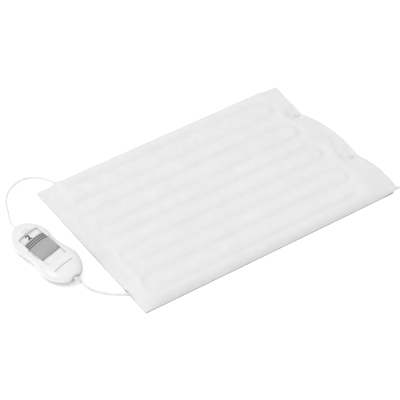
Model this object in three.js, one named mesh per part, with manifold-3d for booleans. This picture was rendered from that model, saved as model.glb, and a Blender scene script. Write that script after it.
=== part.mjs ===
// A heating pad in a cloth cover, with a hand control on its cord and a mains lead.
// Millimetres. X runs along the pad towards its buttoned end, Y towards its back edge, Z up.
// The origin is on the table, under the middle of the pad.
import * as THREE from 'three';
import { mergeVertices } from 'three/addons/utils/BufferGeometryUtils.js';
import Module from 'manifold-3d';

const wasm = await Module();
wasm.setup();

// What every piece shares
const gap = 0.3;             // between pieces that touch
const overrun = 4;           // how far a cutter runs past what it cuts
const tiny = 0.001;          // vertices nearer than this are one
const weld = 0.01;           // the same, after joining and cutting
const deg = Math.PI / 180;

// The two cords
const padCord = { diameter: 3.2, sides: 8, stepShare: 2.6 };
const mainsCord = { diameter: 4, sides: 8, stepShare: 2.6 };

// The cover and what lies in it
const cover = {
  length: 403, width: 300,
  cloth: 0.8,
  innerFromLeft: 11,         // flat cloth outside the padding at the sewn end
  innerFromRight: 24,        // cloth past the padding at the buttoned end
  innerFromSide: 1,          // the side seams lie close to the padding
  cornerRadius: 22,
  edgeRun: 14,               // the padding's shoulder, seen from above
  valleyTop: 11.1,           // height of the stitched lines
  crown: 1,                  // how much higher the middle is
  puff: 2.2,                 // how far the padding stands up between stitched lines
  valleyHalfWidth: 6,
  mouthTop: 6.4,             // height of the upper cloth at the buttoned end
  mouthRun: 28,
  sideRun: 22,
  wave: 7.3,                 // how far the open edge wanders
  lowerSetBack: 3,           // the lower cloth ends short of the upper one
};
const openEdgeShares = [[-1, -0.4], [-0.85, 0.55], [-0.6, 0.95], [-0.37, 0.55], [-0.06, 1], [0.2, 0.5],
  [0.45, -0.65], [0.7, -0.1], [1, 0]];
const flap = { hingeGap: 1, hingePast: 0.9, fromSide: 23, gape: 1.2, gapeReach: 30 };
const arch = { room: 0.5, beyond: 30, underLeft: 5.5, underRight: 6.5, seamFrom: 10.5, seamTo: 29.5 };

// The heating wire, laid to and fro and stitched down
const wire = {
  diameter: 1.8, sides: 6, turnSteps: 6, fromPaddingEnd: 12,
  runShares: [0.7967, 0.5633, 0.3567, 0.13, -0.0633, -0.2767, -0.47, -0.67, -0.89],
  startHeight: 4.2, riseRun: 14, riseShares: [0, 0.35, 0.7, 1],
};
const padding = { lowerTop: 6.4, lowerInset: 7, arcSteps: 5 };
const terminal = {
  fromLeft: 31.5, fromBack: 26.5, width: 12, length: 14, height: 5, cordSlot: [8.5, 3.5], wireSlot: 3,
};
const splice = { width: 4, length: 11, fromRight: 14.5 };

// Press studs: how far past the padding each one sits, and its share of the half width
const snap = {
  placeShares: [[8.5, 0.46], [14.5, -0.3733]],
  sides: 14,
  capRadius: 4.5, capHeight: 1.4, shankRadius: 1,
  postRadius: 4, postHeight: 1,
  studRadius: 3.5, studPlate: 0.8, ballRadius: 1.6, ballHeight: 1.4,
  socketRadius: 4, socketHeight: 1.8, ballClearance: 0.6,
  hatRadius: 6, hatRun: 1.6,
};

// The hand control
const control = {
  place: [-255.9, 18.3, 14], heading: 7.2, tilt: 11,
  length: 139, endShare: 0.97,
  upperBulge: 61.5, lowerBulge: 62.5, waist: 47, waistShare: 0.65,
  upperRound: 2, lowerRound: 2.36, profileRound: 3.2, profileFall: 2.2, sectionRound: 2.5,
  topHeight: 13.75, bottomHeight: 12.8,
  wall: 2, endWall: 5.6,
  stations: 22, sectionSteps: 26, innerStations: 12, innerSteps: 18,
};
// Lengths along the hand control are shares of its own length
const alongControl = (share) => share * control.length;
const slide = {
  centre: 2, length: alongControl(0.295), width: 30, travel: alongControl(0.1), cornerRadius: 2,
  recessLength: alongControl(0.511), recessWidth: 31, recessRadius: 3.5, recessFloor: 9,
  floorThick: 1.8, rimWall: 2,
  sideTop: 11.9, middleTop: 13.9, crownSteps: 8, cornerSteps: 3,
  grooves: 3, groovePitch: 3.9, grooveWidth: 1.7, grooveDepth: 1.1, firstGroove: 3.8,
  slotWidth: 9, stemLength: 6, stemClearance: 0.5,
};
const shutter = { width: 14, length: alongControl(0.475), thick: 1.1 };
const wiper = { width: 6, thick: 0.4, halfBase: 8, bend: 2, foot: 6 };
const board = {
  width: 36, length: alongControl(0.5755), thick: 1.6, top: 1.8, postRadius: 2.4, postPlace: [14, alongControl(0.2374)],
};
const contacts = { count: 3, width: 7, length: 9, thick: 0.4 };
const fuse = { radius: 2.2, length: 20, capLength: 4.5, place: [-12.5, -12], sides: 12 };
const diode = { radius: 1.6, length: 7, place: [11, -18], sides: 10 };
const resistor = { width: 6.5, length: 17, height: 4.5, place: [12.5, 10] };
const screw = {
  place: [14.5, alongControl(0.331)], shankRadius: 1.2, headRadius: 2.6, headHeight: 2.2, seat: -6, tip: 6, sides: 12,
};
const boss = { topRadius: 3.2, bottomRadius: 4.4, sides: 14 };
const relief = {
  neckRadius: 2.9, flangeRadius: 4.8, flangeThick: 2, jacketLength: 9.5, sides: 14,
  pad: { outside: 4, exitRadius: 2.5, tipRadius: 1.9, jacketRadius: 1.6 },
  mains: { outside: 14, exitRadius: 2.8, tipRadius: 2.3, jacketRadius: 2 },
};
const lead = { radius: 0.65, sides: 6, spread: 0.95, landing: 5.5, inboard: 4, steps: 6 };

// The mains lead's coil, its tie and the plug
const coil = {
  centre: [256, -181.5], meanDiameterShare: 12, turnsPerLayer: 3.8194, clearance: 0.45,
  stepsPerTurn: 24, sides: 6, startAngle: 90,
};
const tie = { thick: 1, width: 8, angle: 205, corner: 2, slack: 0.5 };
const plug = {
  place: [294, -221], width: 35.3, thick: 13.7, length: 35,
  rearWidth: 14, rearThick: 10, shoulderShare: 0.4, corner: 4, rearCorner: 3, cornerSteps: 3,
  pinRadius: 2, pinLength: 19, pinSpacing: 18.6, pinSides: 12,
  reliefLength: 25, reliefRadius: 4, reliefTip: 2.6, reliefSides: 12,
};

// Routes of the free cords, from the hand control outwards: x, y and height of the middle of the cord.
// They are drawn for a pad of this size, and each point moves with the edge that it lies by.
const drawn = { halfLength: 201.5, halfWidth: 150, controlPast: 54.4 };
const padCordRoute = [
  [-264.89, 89.43, 13.95], [-265.3, 94.6, 13.5], [-263.9, 104.5, 11.6], [-259.7, 118, 8.2], [-254.6, 132, 4.7],
  [-249.6, 147, 2.4], [-243.4, 161, 1.62], [-235.7, 172.4, 1.62], [-226.4, 180.8, 1.62], [-215.5, 186.6, 1.62],
  [-203.4, 188.7, 1.62], [-192.6, 186.2, 1.62], [-184.4, 180.4, 1.62], [-178.6, 173, 1.7], [-174.9, 165, 2.2],
  [-171.8, 157.4, 2.7], [-168.9, 151, 2.9], [-166.8, 147, 3], [-164.4, 143, 3.1], [-162.2, 139.6, 3.2],
  [-160.6, 136.8, 3.2], [-159.4, 133.6, 3.2], [-159.1, 130.3, 3.2],
];
const mainsRoute = [
  [-245.66, -62.76, 13.95], [-245, -67.5, 13.3], [-243.2, -72.8, 11.6], [-240.3, -77, 9.4], [-236.4, -80.5, 7],
  [-231.6, -84, 4.8], [-226.3, -87.8, 3.1], [-219.8, -93, 2.15], [-211.2, -100.3, 2.02], [-203.7, -105.6, 2.02],
  [-195, -110.2, 2.02], [-186, -113.8, 2.02], [-178, -116.2, 2.02], [-171.5, -117.7, 2.02],
  [-161, -119.3, 2.02], [-148, -120.5, 2.02],
  [-100, -122, 2.02], [-40, -123.4, 2.02], [20, -124.6, 2.02], [80, -126, 2.02], [115, -127.7, 2.02],
  [140, -130.4, 2.02], [158, -133.5, 2.02], [171.5, -136.5, 2.02], [182, -139.1, 2.02], [193, -141.8, 2.02],
  [205, -144.6, 2.02], [222, -147.3, 2.1], [238, -148.35, 2.7], [247, -148.44, 3.28], [251.7, -148.445, 3.3],
];
const tailRoute = [
  [284.08, -163.53, 7.75], [286.7, -166.9, 7.3], [290.2, -172.8, 6.2], [292.6, -180, 5.8], [293.8, -188, 6.4],
  [294, -192.5, 6.85], [294, -195.7, 6.85],
];

// Triangles whose three corners are still distinct
function distinct(index) {
  const corners = [];
  for (let i = 0; i < index.count; i += 3) {
    const [a, b, c] = [0, 1, 2].map((k) => index.getX(i + k));
    if (a !== b && b !== c && c !== a) corners.push(a, b, c);
  }
  return corners;
}

// Solids: closed geometries for joining and cutting, and back again
function solidOf(geometry) {
  const bare = geometry.clone();
  bare.deleteAttribute('normal');
  bare.deleteAttribute('uv');
  const merged = mergeVertices(bare, tiny);
  return new wasm.Manifold(new wasm.Mesh({
    numProp: 3,
    vertProperties: new Float32Array(merged.attributes.position.array),
    triVerts: new Uint32Array(distinct(merged.index)),
  }));
}

function geometryOf(solid) {
  const mesh = solid.getMesh();
  const geometry = indexed(mesh.vertProperties, Array.from(mesh.triVerts));
  const merged = mergeVertices(geometry, weld);
  return indexed(merged.attributes.position.array, distinct(merged.index));
}

function indexed(position, index) {
  const geometry = new THREE.BufferGeometry();
  geometry.setAttribute('position', new THREE.BufferAttribute(new Float32Array(position), 3));
  geometry.setIndex(index);
  return geometry;
}

function box(sizes, at) {
  return new THREE.BoxGeometry(...sizes).translate(...at);
}

// A cylinder whose axis runs along Z from one height to another
function post(radius, from, to, at, sides) {
  const geometry = new THREE.CylinderGeometry(radius, radius, to - from, sides);
  return geometry.rotateX(90 * deg).translate(at[0], at[1], (from + to) / 2);
}

// A turned piece: its profile goes round Z, from the axis back to the axis
function turned(profile, sides) {
  const points = profile.map(([r, z]) => new THREE.Vector2(r, z));
  return new THREE.LatheGeometry(points, sides).rotateX(90 * deg);
}

// Rings of points joined into a closed body, each end closed by a fan
function loft(rings) {
  const count = rings[0].length;
  const position = rings.flat(2);
  const index = [];
  for (let i = 0; i < rings.length - 1; i++) {
    for (let j = 0; j < count; j++) {
      const a = i * count + j;
      const b = i * count + (j + 1) % count;
      index.push(a, b, a + count, b, b + count, a + count);
    }
  }
  const last = (rings.length - 1) * count;
  for (let j = 1; j < count - 1; j++) {
    index.push(0, j + 1, j, last, last + j, last + j + 1);
  }
  return indexed(position, index);
}

// A round tube through points, level across its width all the way
function tubeThrough(points, radius, sides) {
  const path = points.map((p) => new THREE.Vector3(...p));
  const rings = path.map((p, i) => {
    const ahead = path[Math.min(i + 1, path.length - 1)];
    const behind = path[Math.max(i - 1, 0)];
    const along = ahead.clone().sub(behind).normalize();
    const across = new THREE.Vector3(0, 0, 1).cross(along).normalize();
    const up = along.clone().cross(across);
    return Array.from({ length: sides }, (_, k) => {
      const turn = 2 * Math.PI * (k + 0.5) / sides;
      const rim = p.clone().addScaledVector(across, radius * Math.cos(turn));
      return rim.addScaledVector(up, radius * Math.sin(turn)).toArray();
    });
  });
  return loft(rings);
}

// A free cord: a section with few sides, drawn along a smooth route
function cordAlong(route, cord) {
  const path = new THREE.CatmullRomCurve3(route.map((p) => new THREE.Vector3(...p)), false, 'centripetal');
  const radius = cord.diameter / 2;
  const section = new THREE.Shape();
  for (let k = 0; k < cord.sides; k++) {
    const turn = 2 * Math.PI * (k + 0.5) / cord.sides;
    const point = [radius * Math.cos(turn), radius * Math.sin(turn)];
    if (k === 0) section.moveTo(...point);
    else section.lineTo(...point);
  }
  section.closePath();
  const steps = Math.ceil(path.getLength() / (cord.stepShare * cord.diameter));
  return new THREE.ExtrudeGeometry(section, { steps, extrudePath: path, bevelEnabled: false });
}

function roundedRectangle(width, length, radius, steps = 4) {
  const x = width / 2 - radius;
  const y = length / 2 - radius;
  const points = [];
  for (const [cx, cy, from] of [[x, y, 0], [-x, y, 90], [-x, -y, 180], [x, -y, 270]]) {
    for (let k = 0; k <= steps; k++) {
      const turn = (from + 90 * k / steps) * deg;
      points.push([cx + radius * Math.cos(turn), cy + radius * Math.sin(turn)]);
    }
  }
  return points;
}

function plate(points, from, to) {
  const shape = new THREE.Shape(points.map(([x, y]) => new THREE.Vector2(x, y)));
  const geometry = new THREE.ExtrudeGeometry(shape, { depth: to - from, bevelEnabled: false });
  return geometry.translate(0, 0, from);
}

function named(name, shape, look) {
  const solid = shape.isBufferGeometry ? solidOf(shape) : shape;
  const mesh = new THREE.Mesh(geometryOf(solid), look);
  mesh.name = name;
  return mesh;
}

function material(color, roughness, metalness = 0) {
  return new THREE.MeshStandardMaterial({ color, roughness, metalness });
}

// Finishes, one for each kind of piece
const looks = {
  cloth: () => material(0xececec, 0.95),
  felt: () => material(0xdedad2, 1),
  wire: () => material(0xb8b4ac, 0.6),
  whitePlastic: () => material(0xf1f1ef, 0.38),
  greyPlastic: () => material(0x9d9d9d, 0.45),
  cord: () => material(0xe9e9e7, 0.5),
  brass: () => material(0xb89a4e, 0.35, 1),
  steel: () => material(0xb4b6b8, 0.35, 1),
  board: () => material(0x2f6b3c, 0.6),
  dark: () => material(0x2b2b2e, 0.5),
  glass: () => material(0xdfe3e3, 0.2),
};

// The pad's plan
const halfLength = cover.length / 2;
const halfWidth = cover.width / 2;
const innerLeft = -halfLength + cover.innerFromLeft;
const innerRight = halfLength - cover.innerFromRight;
const innerMiddle = (innerLeft + innerRight) / 2;
const innerHalfLength = (innerRight - innerLeft) / 2;
const innerHalfWidth = halfWidth - cover.innerFromSide;
const hemTop = 2 * cover.cloth + gap;
const runPlaces = wire.runShares.map((share) => share * halfWidth);
const [firstRun, lastRun] = [runPlaces[0], runPlaces[runPlaces.length - 1]];
// Each turn of the wire joins a run to the next one, first at the buttoned end, then at the sewn one
const wireTurns = runPlaces.slice(1).map((next, k) => ({
  side: k % 2 === 0 ? 1 : -1, middle: (runPlaces[k] + next) / 2, radius: (runPlaces[k] - next) / 2,
}));
const turnCentre = innerHalfLength - wire.fromPaddingEnd - (firstRun - lastRun) / 2 / wireTurns.length;
const lipHalfWidth = halfWidth - flap.fromSide;
const snapPlaces = snap.placeShares.map(([past, share]) => [innerRight + past, share * halfWidth]);
const terminalPlace = [innerLeft + terminal.fromLeft, innerHalfWidth - terminal.fromBack];
const spliceEnd = innerRight - splice.fromRight;

const clampShare = (t) => Math.min(Math.max(t, 0), 1);
const easeShare = (t) => Math.sin(clampShare(t) * Math.PI / 2);
const smoothShare = (t) => clampShare(t) ** 2 * (3 - 2 * clampShare(t));

// Beside the hand control a point keeps its y; under and past the pad it moves with the nearer edges
function withPad([x, y, z]) {
  const endShare = Math.sign(x) * clampShare(Math.abs(x) / turnCentre);
  const sideShare = clampShare((x + drawn.halfLength + drawn.controlPast) / drawn.controlPast);
  const movedX = endShare * (halfLength - drawn.halfLength);
  const movedY = Math.sign(y) * sideShare * (halfWidth - drawn.halfWidth);
  return [x + movedX, y + movedY, z];
}
const padCordLine = padCordRoute.map(withPad);
const mainsLine = mainsRoute.map(withPad);
const tailLine = tailRoute.map(withPad);
const controlPlace = withPad(control.place);
const coilCentre = withPad([...coil.centre, 0]);
const plugPlace = withPad([...plug.place, plug.thick / 2]);

// How far a place lies inside the padding's outline, drawn in by an inset
function insidePadding(x, y, inset = 0) {
  const radius = cover.cornerRadius - inset;
  const fromX = Math.abs(x - innerMiddle) - (innerHalfLength - inset - radius);
  const fromY = Math.abs(y) - (innerHalfWidth - inset - radius);
  const past = Math.hypot(Math.max(fromX, 0), Math.max(fromY, 0));
  return radius - past - Math.min(Math.max(fromX, fromY), 0);
}

// How far a place lies from the stitched line of the heating wire, seen from above
function fromWire(x, y) {
  let nearest = Math.min(...runPlaces.map((place) => Math.abs(y - place)));
  const along = x - innerMiddle;
  if (Math.abs(along) > turnCentre) {
    const turns = wireTurns.filter(({ side }) => side === Math.sign(along));
    nearest = Math.min(...turns.map(({ middle, radius }) => (
      Math.abs(Math.hypot(Math.abs(along) - turnCentre, y - middle) - radius)
    )));
  }
  return nearest;
}

// The open lip lifts a little between the press studs
function gape(x, y) {
  const pastPadding = smoothShare((x - innerRight) / cover.innerFromRight);
  const offStuds = snapPlaces.map(([sx, sy]) => Math.hypot(x - sx, y - sy));
  const free = smoothShare((Math.min(...offStuds) - snap.hatRadius) / flap.gapeReach);
  return flap.gape * pastPadding * free * smoothShare((lipHalfWidth - Math.abs(y)) / flap.gapeReach);
}

// Height of the upper cloth's top face where nothing holds it up but its edges
function edgeLevel(x, y) {
  const towardsMouth = smoothShare((x - innerRight + cover.mouthRun) / cover.mouthRun);
  const offSeams = smoothShare((halfWidth - Math.abs(y)) / cover.sideRun);
  return hemTop + (cover.mouthTop - hemTop) * towardsMouth * offSeams + gape(x, y);
}

// Height of the upper cloth's top face
function coverTop(x, y) {
  const level = edgeLevel(x, y);
  const shoulder = easeShare(insidePadding(x, y) / cover.edgeRun);
  const crownShare = (1 - (x / halfLength) ** 2) * (1 - (y / halfWidth) ** 2);
  const puffShare = 1 - Math.exp(-((fromWire(x, y) / cover.valleyHalfWidth) ** 2));
  const full = cover.valleyTop + cover.crown * crownShare + cover.puff * puffShare;
  return level + (full - level) * shoulder;
}

// The open edge wanders in and out between the press studs
const openEdgeLine = new THREE.SplineCurve(
  openEdgeShares.map(([y, x]) => new THREE.Vector2(y * halfWidth, halfLength + x * cover.wave)),
);
function openEdge(y) {
  const places = openEdgeLine.getPoints(openEdgeShares.length * 6);
  const after = Math.max(places.findIndex((p) => p.x >= y - tiny), 1);
  const [a, b] = [places[after - 1], places[after]];
  return a.y + (b.y - a.y) * clampShare((y - a.x) / (b.x - a.x));
}

// A closed sheet over a grid of places, with an upper and a lower face
function sheet(plan, upper, lower) {
  const rows = plan.length;
  const columns = plan[0].length;
  const position = [];
  for (const height of [upper, lower]) {
    plan.flat().forEach(([x, y]) => position.push(x, y, height(x, y)));
  }
  const at = (side, i, j) => (side * rows + i) * columns + j;
  const index = [];
  const quad = (a, b, c, d) => index.push(a, b, c, a, c, d);
  for (let i = 0; i < rows - 1; i++) {
    for (let j = 0; j < columns - 1; j++) {
      quad(at(0, i, j), at(0, i, j + 1), at(0, i + 1, j + 1), at(0, i + 1, j));
      quad(at(1, i, j), at(1, i + 1, j), at(1, i + 1, j + 1), at(1, i, j + 1));
    }
    quad(at(0, i, 0), at(0, i + 1, 0), at(1, i + 1, 0), at(1, i, 0));
    quad(at(0, i + 1, columns - 1), at(0, i, columns - 1), at(1, i, columns - 1), at(1, i + 1, columns - 1));
  }
  for (let j = 0; j < columns - 1; j++) {
    quad(at(0, 0, j + 1), at(0, 0, j), at(1, 0, j), at(1, 0, j + 1));
    quad(at(0, rows - 1, j), at(0, rows - 1, j + 1), at(1, rows - 1, j + 1), at(1, rows - 1, j));
  }
  return indexed(position, index);
}

// Rows of the upper cloth: one on each stitched line, two between, closer towards the seams
const seamRowShares = [0.3, 0.62, 0.87, 1];
function coverRows() {
  const upper = seamRowShares.map((share) => firstRun + (halfWidth - firstRun) * share);
  const lower = seamRowShares.map((share) => lastRun - (halfWidth + lastRun) * share);
  const between = runPlaces.flatMap((place, k) => {
    const step = ((runPlaces[k + 1] ?? place) - place) / 3;
    return step ? [place, place + step, place + 2 * step] : [place];
  });
  return [...lower.reverse(), ...between.reverse(), ...upper];
}
const shoulderShares = [0, 0.5, 1];
const middleShares = [-1, 0, 1];
function coverColumns() {
  const left = shoulderShares.map((share) => innerLeft + share * cover.edgeRun);
  const right = shoulderShares.map((share) => innerRight - share * cover.edgeRun).reverse();
  const flange = [-halfLength, (innerLeft - halfLength) / 2];
  const middle = middleShares.map((share) => innerMiddle + share * turnCentre);
  return [...flange, ...left, ...middle, ...right];
}
const mouthShares = [0.5, 1];

// Places of the upper cloth's grid; the last columns follow the open edge
function coverPlan(columns, rows) {
  return rows.map((y) => {
    const edge = openEdge(y);
    const mouth = mouthShares.map((share) => [innerRight + share * (edge - innerRight), y]);
    return [...columns.map((x) => [x, y]), ...mouth];
  });
}

// The cover's outline, with its open edge set back and its sewn edges drawn in
function coverOutline(rows, setBack, inset = 0) {
  const side = halfWidth - inset;
  const edge = rows.map((y) => [openEdge(y) - setBack - inset, Math.min(Math.max(y, -side), side)]);
  return [[-halfLength + inset, side], [-halfLength + inset, -side], ...edge];
}

// Tunnels for the cords: each cloth arches over a cord at its own clearance
const mainsTunnel = mainsCord.diameter / 2 + arch.room;
const lowerArch = mainsTunnel + cover.cloth;
const upperTunnel = lowerArch + gap;
const upperArch = upperTunnel + cover.cloth;
const padTunnel = padCord.diameter / 2 + 2 * gap;
const archRanges = {
  left: [-halfLength - arch.beyond, innerLeft + arch.underLeft],
  right: [innerRight - arch.underRight, halfLength + arch.beyond],
  seam: [innerLeft + arch.seamFrom, innerLeft + arch.seamTo],
};

function tunnel(route, radius, [from, to], sides = mainsCord.sides) {
  return solidOf(tubeThrough(route.filter(([x]) => x >= from && x <= to), radius, sides));
}

// Cutters and blanks that reach well past the pad
function block(from, to) {
  const sizes = to.map((end, i) => end - from[i]);
  return solidOf(box(sizes, to.map((end, i) => (end + from[i]) / 2)));
}

const seamRoute = padCordLine.slice(-10);
function wholeRoute(radius) {
  return tunnel(mainsLine, radius, [-halfLength - arch.beyond, halfLength + arch.beyond]);
}

function buildUpperCloth() {
  const rows = coverRows();
  const plan = coverPlan(coverColumns(), rows);
  const cloth = solidOf(sheet(plan, coverTop, (x, y) => coverTop(x, y) - cover.cloth));
  const above = solidOf(plate(coverOutline(rows, 0, gap), hemTop - cover.cloth / 2, cover.valleyTop));
  const leftArch = tunnel(mainsLine, upperArch, archRanges.left);
  const rightArch = tunnel(mainsLine, upperArch, archRanges.right);
  const seamArch = tunnel(seamRoute, padTunnel + cover.cloth, archRanges.seam);
  const arches = leftArch.add(rightArch).add(seamArch).intersect(above);
  const padHole = tunnel(seamRoute, padTunnel, [-halfLength, 0]);
  return cloth.add(arches).subtract(wholeRoute(upperTunnel)).subtract(padHole);
}

// The open end's upper lip is free between the side seams
const hinge = { x: innerRight + flap.hingePast, z: cover.mouthTop - cover.cloth / 2 };
function lipBlock(clearance) {
  const near = hinge.x + flap.hingeGap / 2 - clearance;
  const side = lipHalfWidth + clearance;
  return block([near, -side, 0], [halfLength + overrun * 4, side, cover.valleyTop + overrun]);
}

function buildLip(cloth) {
  let lip = cloth.intersect(lipBlock(0));
  for (const [x, y] of snapPlaces) {
    const hole = post(snap.shankRadius + gap, 0, cover.valleyTop, [x, y], snap.sides);
    lip = lip.subtract(solidOf(hole));
  }
  return lip;
}

const lowerCapTop = snap.postHeight + gap;
function hat(x, y, grow) {
  const flat = snap.hatRadius - snap.hatRun / 2 + grow;
  const profile = [[0, -overrun], [flat + snap.hatRun, -overrun], [flat + snap.hatRun, 0]];
  const top = lowerCapTop + (grow > 0 ? cover.cloth : 0);
  profile.push([flat, top], [0, top]);
  return solidOf(turned(profile, snap.sides).translate(x, y, 0));
}

function buildLowerCloth() {
  const outline = coverOutline(coverRows(), cover.lowerSetBack);
  const inner = coverOutline(coverRows(), cover.lowerSetBack, gap);
  const above = solidOf(plate(inner, cover.cloth / 2, cover.valleyTop));
  let cloth = solidOf(plate(outline, 0, cover.cloth));
  cloth = cloth.add(wholeRoute(lowerArch).intersect(above)).subtract(wholeRoute(mainsTunnel));
  for (const [x, y] of snapPlaces) {
    const hole = post(snap.shankRadius + gap, 0, cover.valleyTop, [x, y], snap.sides);
    cloth = cloth.add(hat(x, y, cover.cloth).intersect(above)).subtract(hat(x, y, 0)).subtract(solidOf(hole));
  }
  return cloth;
}

const terminalBottom = cover.cloth + gap;
const terminalTop = terminalBottom + terminal.height;
function buildLowerPadding() {
  const width = 2 * (innerHalfLength - padding.lowerInset);
  const length = 2 * (innerHalfWidth - padding.lowerInset);
  const radius = cover.cornerRadius - padding.lowerInset;
  const corners = roundedRectangle(width, length, radius, padding.arcSteps);
  const outline = corners.map(([x, y]) => [x + innerMiddle, y]);
  const [x, y] = terminalPlace;
  const halfX = terminal.width / 2 + gap;
  const halfY = terminal.length / 2 + gap;
  const pocket = block([x - halfX, y - halfY, 0], [x + halfX, y + halfY, padding.lowerTop + overrun]);
  const cordSlot = block(
    [x - terminal.cordSlot[0], y + halfY - gap, 0],
    [x + terminal.cordSlot[1], halfWidth, padding.lowerTop + overrun],
  );
  const wireSlot = block(
    [x, firstRun - terminal.wireSlot / 2, wire.startHeight - terminal.wireSlot / 2],
    [x + halfX + wire.riseRun, firstRun + terminal.wireSlot / 2, padding.lowerTop + overrun],
  );
  const body = solidOf(plate(outline, cover.cloth + gap, padding.lowerTop)).subtract(wholeRoute(upperTunnel));
  return body.subtract(pocket).subtract(cordSlot).subtract(wireSlot);
}

const wireHeight = padding.lowerTop + gap + wire.diameter / 2;
const upperPaddingBottom = wireHeight + wire.diameter / 2 + gap;
function buildUpperPadding() {
  const reach = innerHalfLength - cover.edgeRun + tiny;
  const columns = coverColumns().filter((x) => Math.abs(x - innerMiddle) <= reach);
  const rows = coverRows().filter((y) => Math.abs(y) <= innerHalfWidth - cover.edgeRun + tiny);
  const plan = rows.map((y) => columns.map((x) => [x, y]));
  return sheet(plan, (x, y) => coverTop(x, y) - cover.cloth - gap, () => upperPaddingBottom);
}

function buildWire() {
  const start = terminalPlace[0] + terminal.width / 2 + gap;
  const points = wire.riseShares.map((share) => [
    start + wire.riseRun * share,
    firstRun,
    wire.startHeight + (wireHeight - wire.startHeight) * smoothShare(share),
  ]);
  for (const { side, middle, radius } of wireTurns) {
    for (let i = 0; i <= wire.turnSteps; i++) {
      const turn = (90 - 180 * i / wire.turnSteps) * deg;
      const x = innerMiddle + side * (turnCentre + radius * Math.cos(turn));
      points.push([x, middle + radius * Math.sin(turn), wireHeight]);
    }
  }
  points.push([spliceEnd - splice.length - gap, lastRun, wireHeight]);
  return tubeThrough(points, wire.diameter / 2, wire.sides);
}

function buildPad() {
  const cloth = buildUpperCloth();
  const [x, y] = terminalPlace;
  const middle = (terminalBottom + terminalTop) / 2;
  const spliceAt = [spliceEnd - splice.length / 2, lastRun, wireHeight];
  return [
    named('cover_top', cloth.subtract(lipBlock(flap.hingeGap)), looks.cloth()),
    named('cover_flap', buildLip(cloth), looks.cloth()),
    named('cover_bottom', buildLowerCloth(), looks.cloth()),
    named('inner_pad_lower', buildLowerPadding(), looks.felt()),
    named('inner_pad_upper', buildUpperPadding(), looks.felt()),
    named('heating_wire', buildWire(), looks.wire()),
    named('pad_terminal', box([terminal.width, terminal.length, terminal.height], [x, y, middle]), looks.dark()),
    named('wire_end_splice', box([splice.length, splice.width, wire.diameter], spliceAt), looks.dark()),
  ];
}

// Press studs: cap and socket on the lip, stud and post on the lower cloth
function buildSnap(place, number) {
  const lipBottom = cover.mouthTop - cover.cloth;
  const capBase = cover.mouthTop + gap;
  const socketTop = lipBottom - gap;
  const socketBottom = socketTop - snap.socketHeight;
  const cavity = snap.ballRadius + snap.ballClearance;
  const cavityTop = socketTop - snap.studPlate / 2;
  const plateBottom = lowerCapTop + cover.cloth + gap;
  const plateTop = plateBottom + snap.studPlate;
  const ballTop = plateTop + snap.ballHeight;
  const profiles = {
    cap: [
      [0, lipBottom], [snap.shankRadius, lipBottom], [snap.shankRadius, capBase], [snap.capRadius, capBase],
      [snap.capRadius, capBase + snap.capHeight * 0.35], [snap.capRadius * 0.7, capBase + snap.capHeight * 0.85],
      [0, capBase + snap.capHeight],
    ],
    socket: [
      [0, cavityTop], [cavity, cavityTop], [cavity, socketBottom], [snap.socketRadius, socketBottom],
      [snap.socketRadius, socketTop], [0, socketTop],
    ],
    stud: [
      [0, plateBottom], [snap.studRadius, plateBottom], [snap.studRadius, plateTop],
      [snap.ballRadius * 0.75, plateTop], [snap.ballRadius, plateTop + snap.ballHeight * 0.6],
      [snap.ballRadius * 0.7, ballTop], [0, ballTop],
    ],
    post: [
      [0, 0], [snap.postRadius, 0], [snap.postRadius, snap.postHeight * 0.6],
      [snap.postRadius * 0.9, snap.postHeight], [snap.shankRadius, snap.postHeight],
      [snap.shankRadius, lowerCapTop + cover.cloth], [0, lowerCapTop + cover.cloth],
    ],
  };
  return Object.entries(profiles).map(([piece, profile]) => {
    const geometry = turned(profile, snap.sides).translate(...place, 0);
    return named(`snap_${number}_${piece}`, geometry, piece === 'cap' ? looks.greyPlastic() : looks.steel());
  });
}

// The hand control, built about its own middle with its length along Y, then put in its place
const halfControl = control.length / 2;
function controlShell(inset, endInset, stations, steps) {
  const reach = control.endShare * halfControl - endInset;
  const rings = [];
  for (let i = 0; i <= stations; i++) {
    const y = -reach * Math.cos(Math.PI * i / stations);
    const u = y / halfControl;
    const round = u > 0 ? control.upperRound : control.lowerRound;
    const bulge = u > 0 ? control.upperBulge : control.lowerBulge;
    const end = (1 - Math.abs(u) ** round) ** (1 / round);
    const mix = (1 + Math.cos(Math.PI * Math.min(Math.abs(u) / control.waistShare, 1))) / 2;
    const halfWide = (bulge * (1 - mix) + control.waist * mix) / 2 * end - inset;
    const fall = (1 - Math.abs(u) ** control.profileRound) ** (1 / control.profileFall);
    const ring = [];
    for (let k = 0; k < steps; k++) {
      const turn = 2 * Math.PI * k / steps;
      const high = (Math.cos(turn) > 0 ? control.topHeight : control.bottomHeight) * fall - inset;
      const across = Math.sign(Math.sin(turn)) * Math.abs(Math.sin(turn)) ** (2 / control.sectionRound);
      const up = Math.sign(Math.cos(turn)) * Math.abs(Math.cos(turn)) ** (2 / control.sectionRound);
      ring.push([halfWide * across, y, high * up]);
    }
    rings.push(ring);
  }
  return solidOf(loft(rings));
}

const outerShell = () => controlShell(0, 0, control.stations, control.sectionSteps);
const innerShell = () => controlShell(control.wall, control.endWall, control.innerStations, control.innerSteps);
const far = control.length;
const upperHalf = () => block([-far, -far, gap / 2], [far, far, far]);
const lowerHalf = () => block([-far, -far, -far], [far, far, -gap / 2]);
const endHoles = () => solidOf(
  new THREE.CylinderGeometry(relief.neckRadius + gap, relief.neckRadius + gap, 2 * far, relief.sides),
).subtract(block([-far, -board.length / 2, -far], [far, board.length / 2, far]));

function screwPlaces() {
  const [x, y] = screw.place;
  return [[-x, -y], [x, -y], [-x, y], [x, y]];
}

function recessPlan(grow) {
  const width = slide.recessWidth + 2 * grow;
  const length = slide.recessLength + 2 * grow;
  return roundedRectangle(width, length, slide.recessRadius + grow).map(([x, y]) => [x, y + slide.centre]);
}

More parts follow.
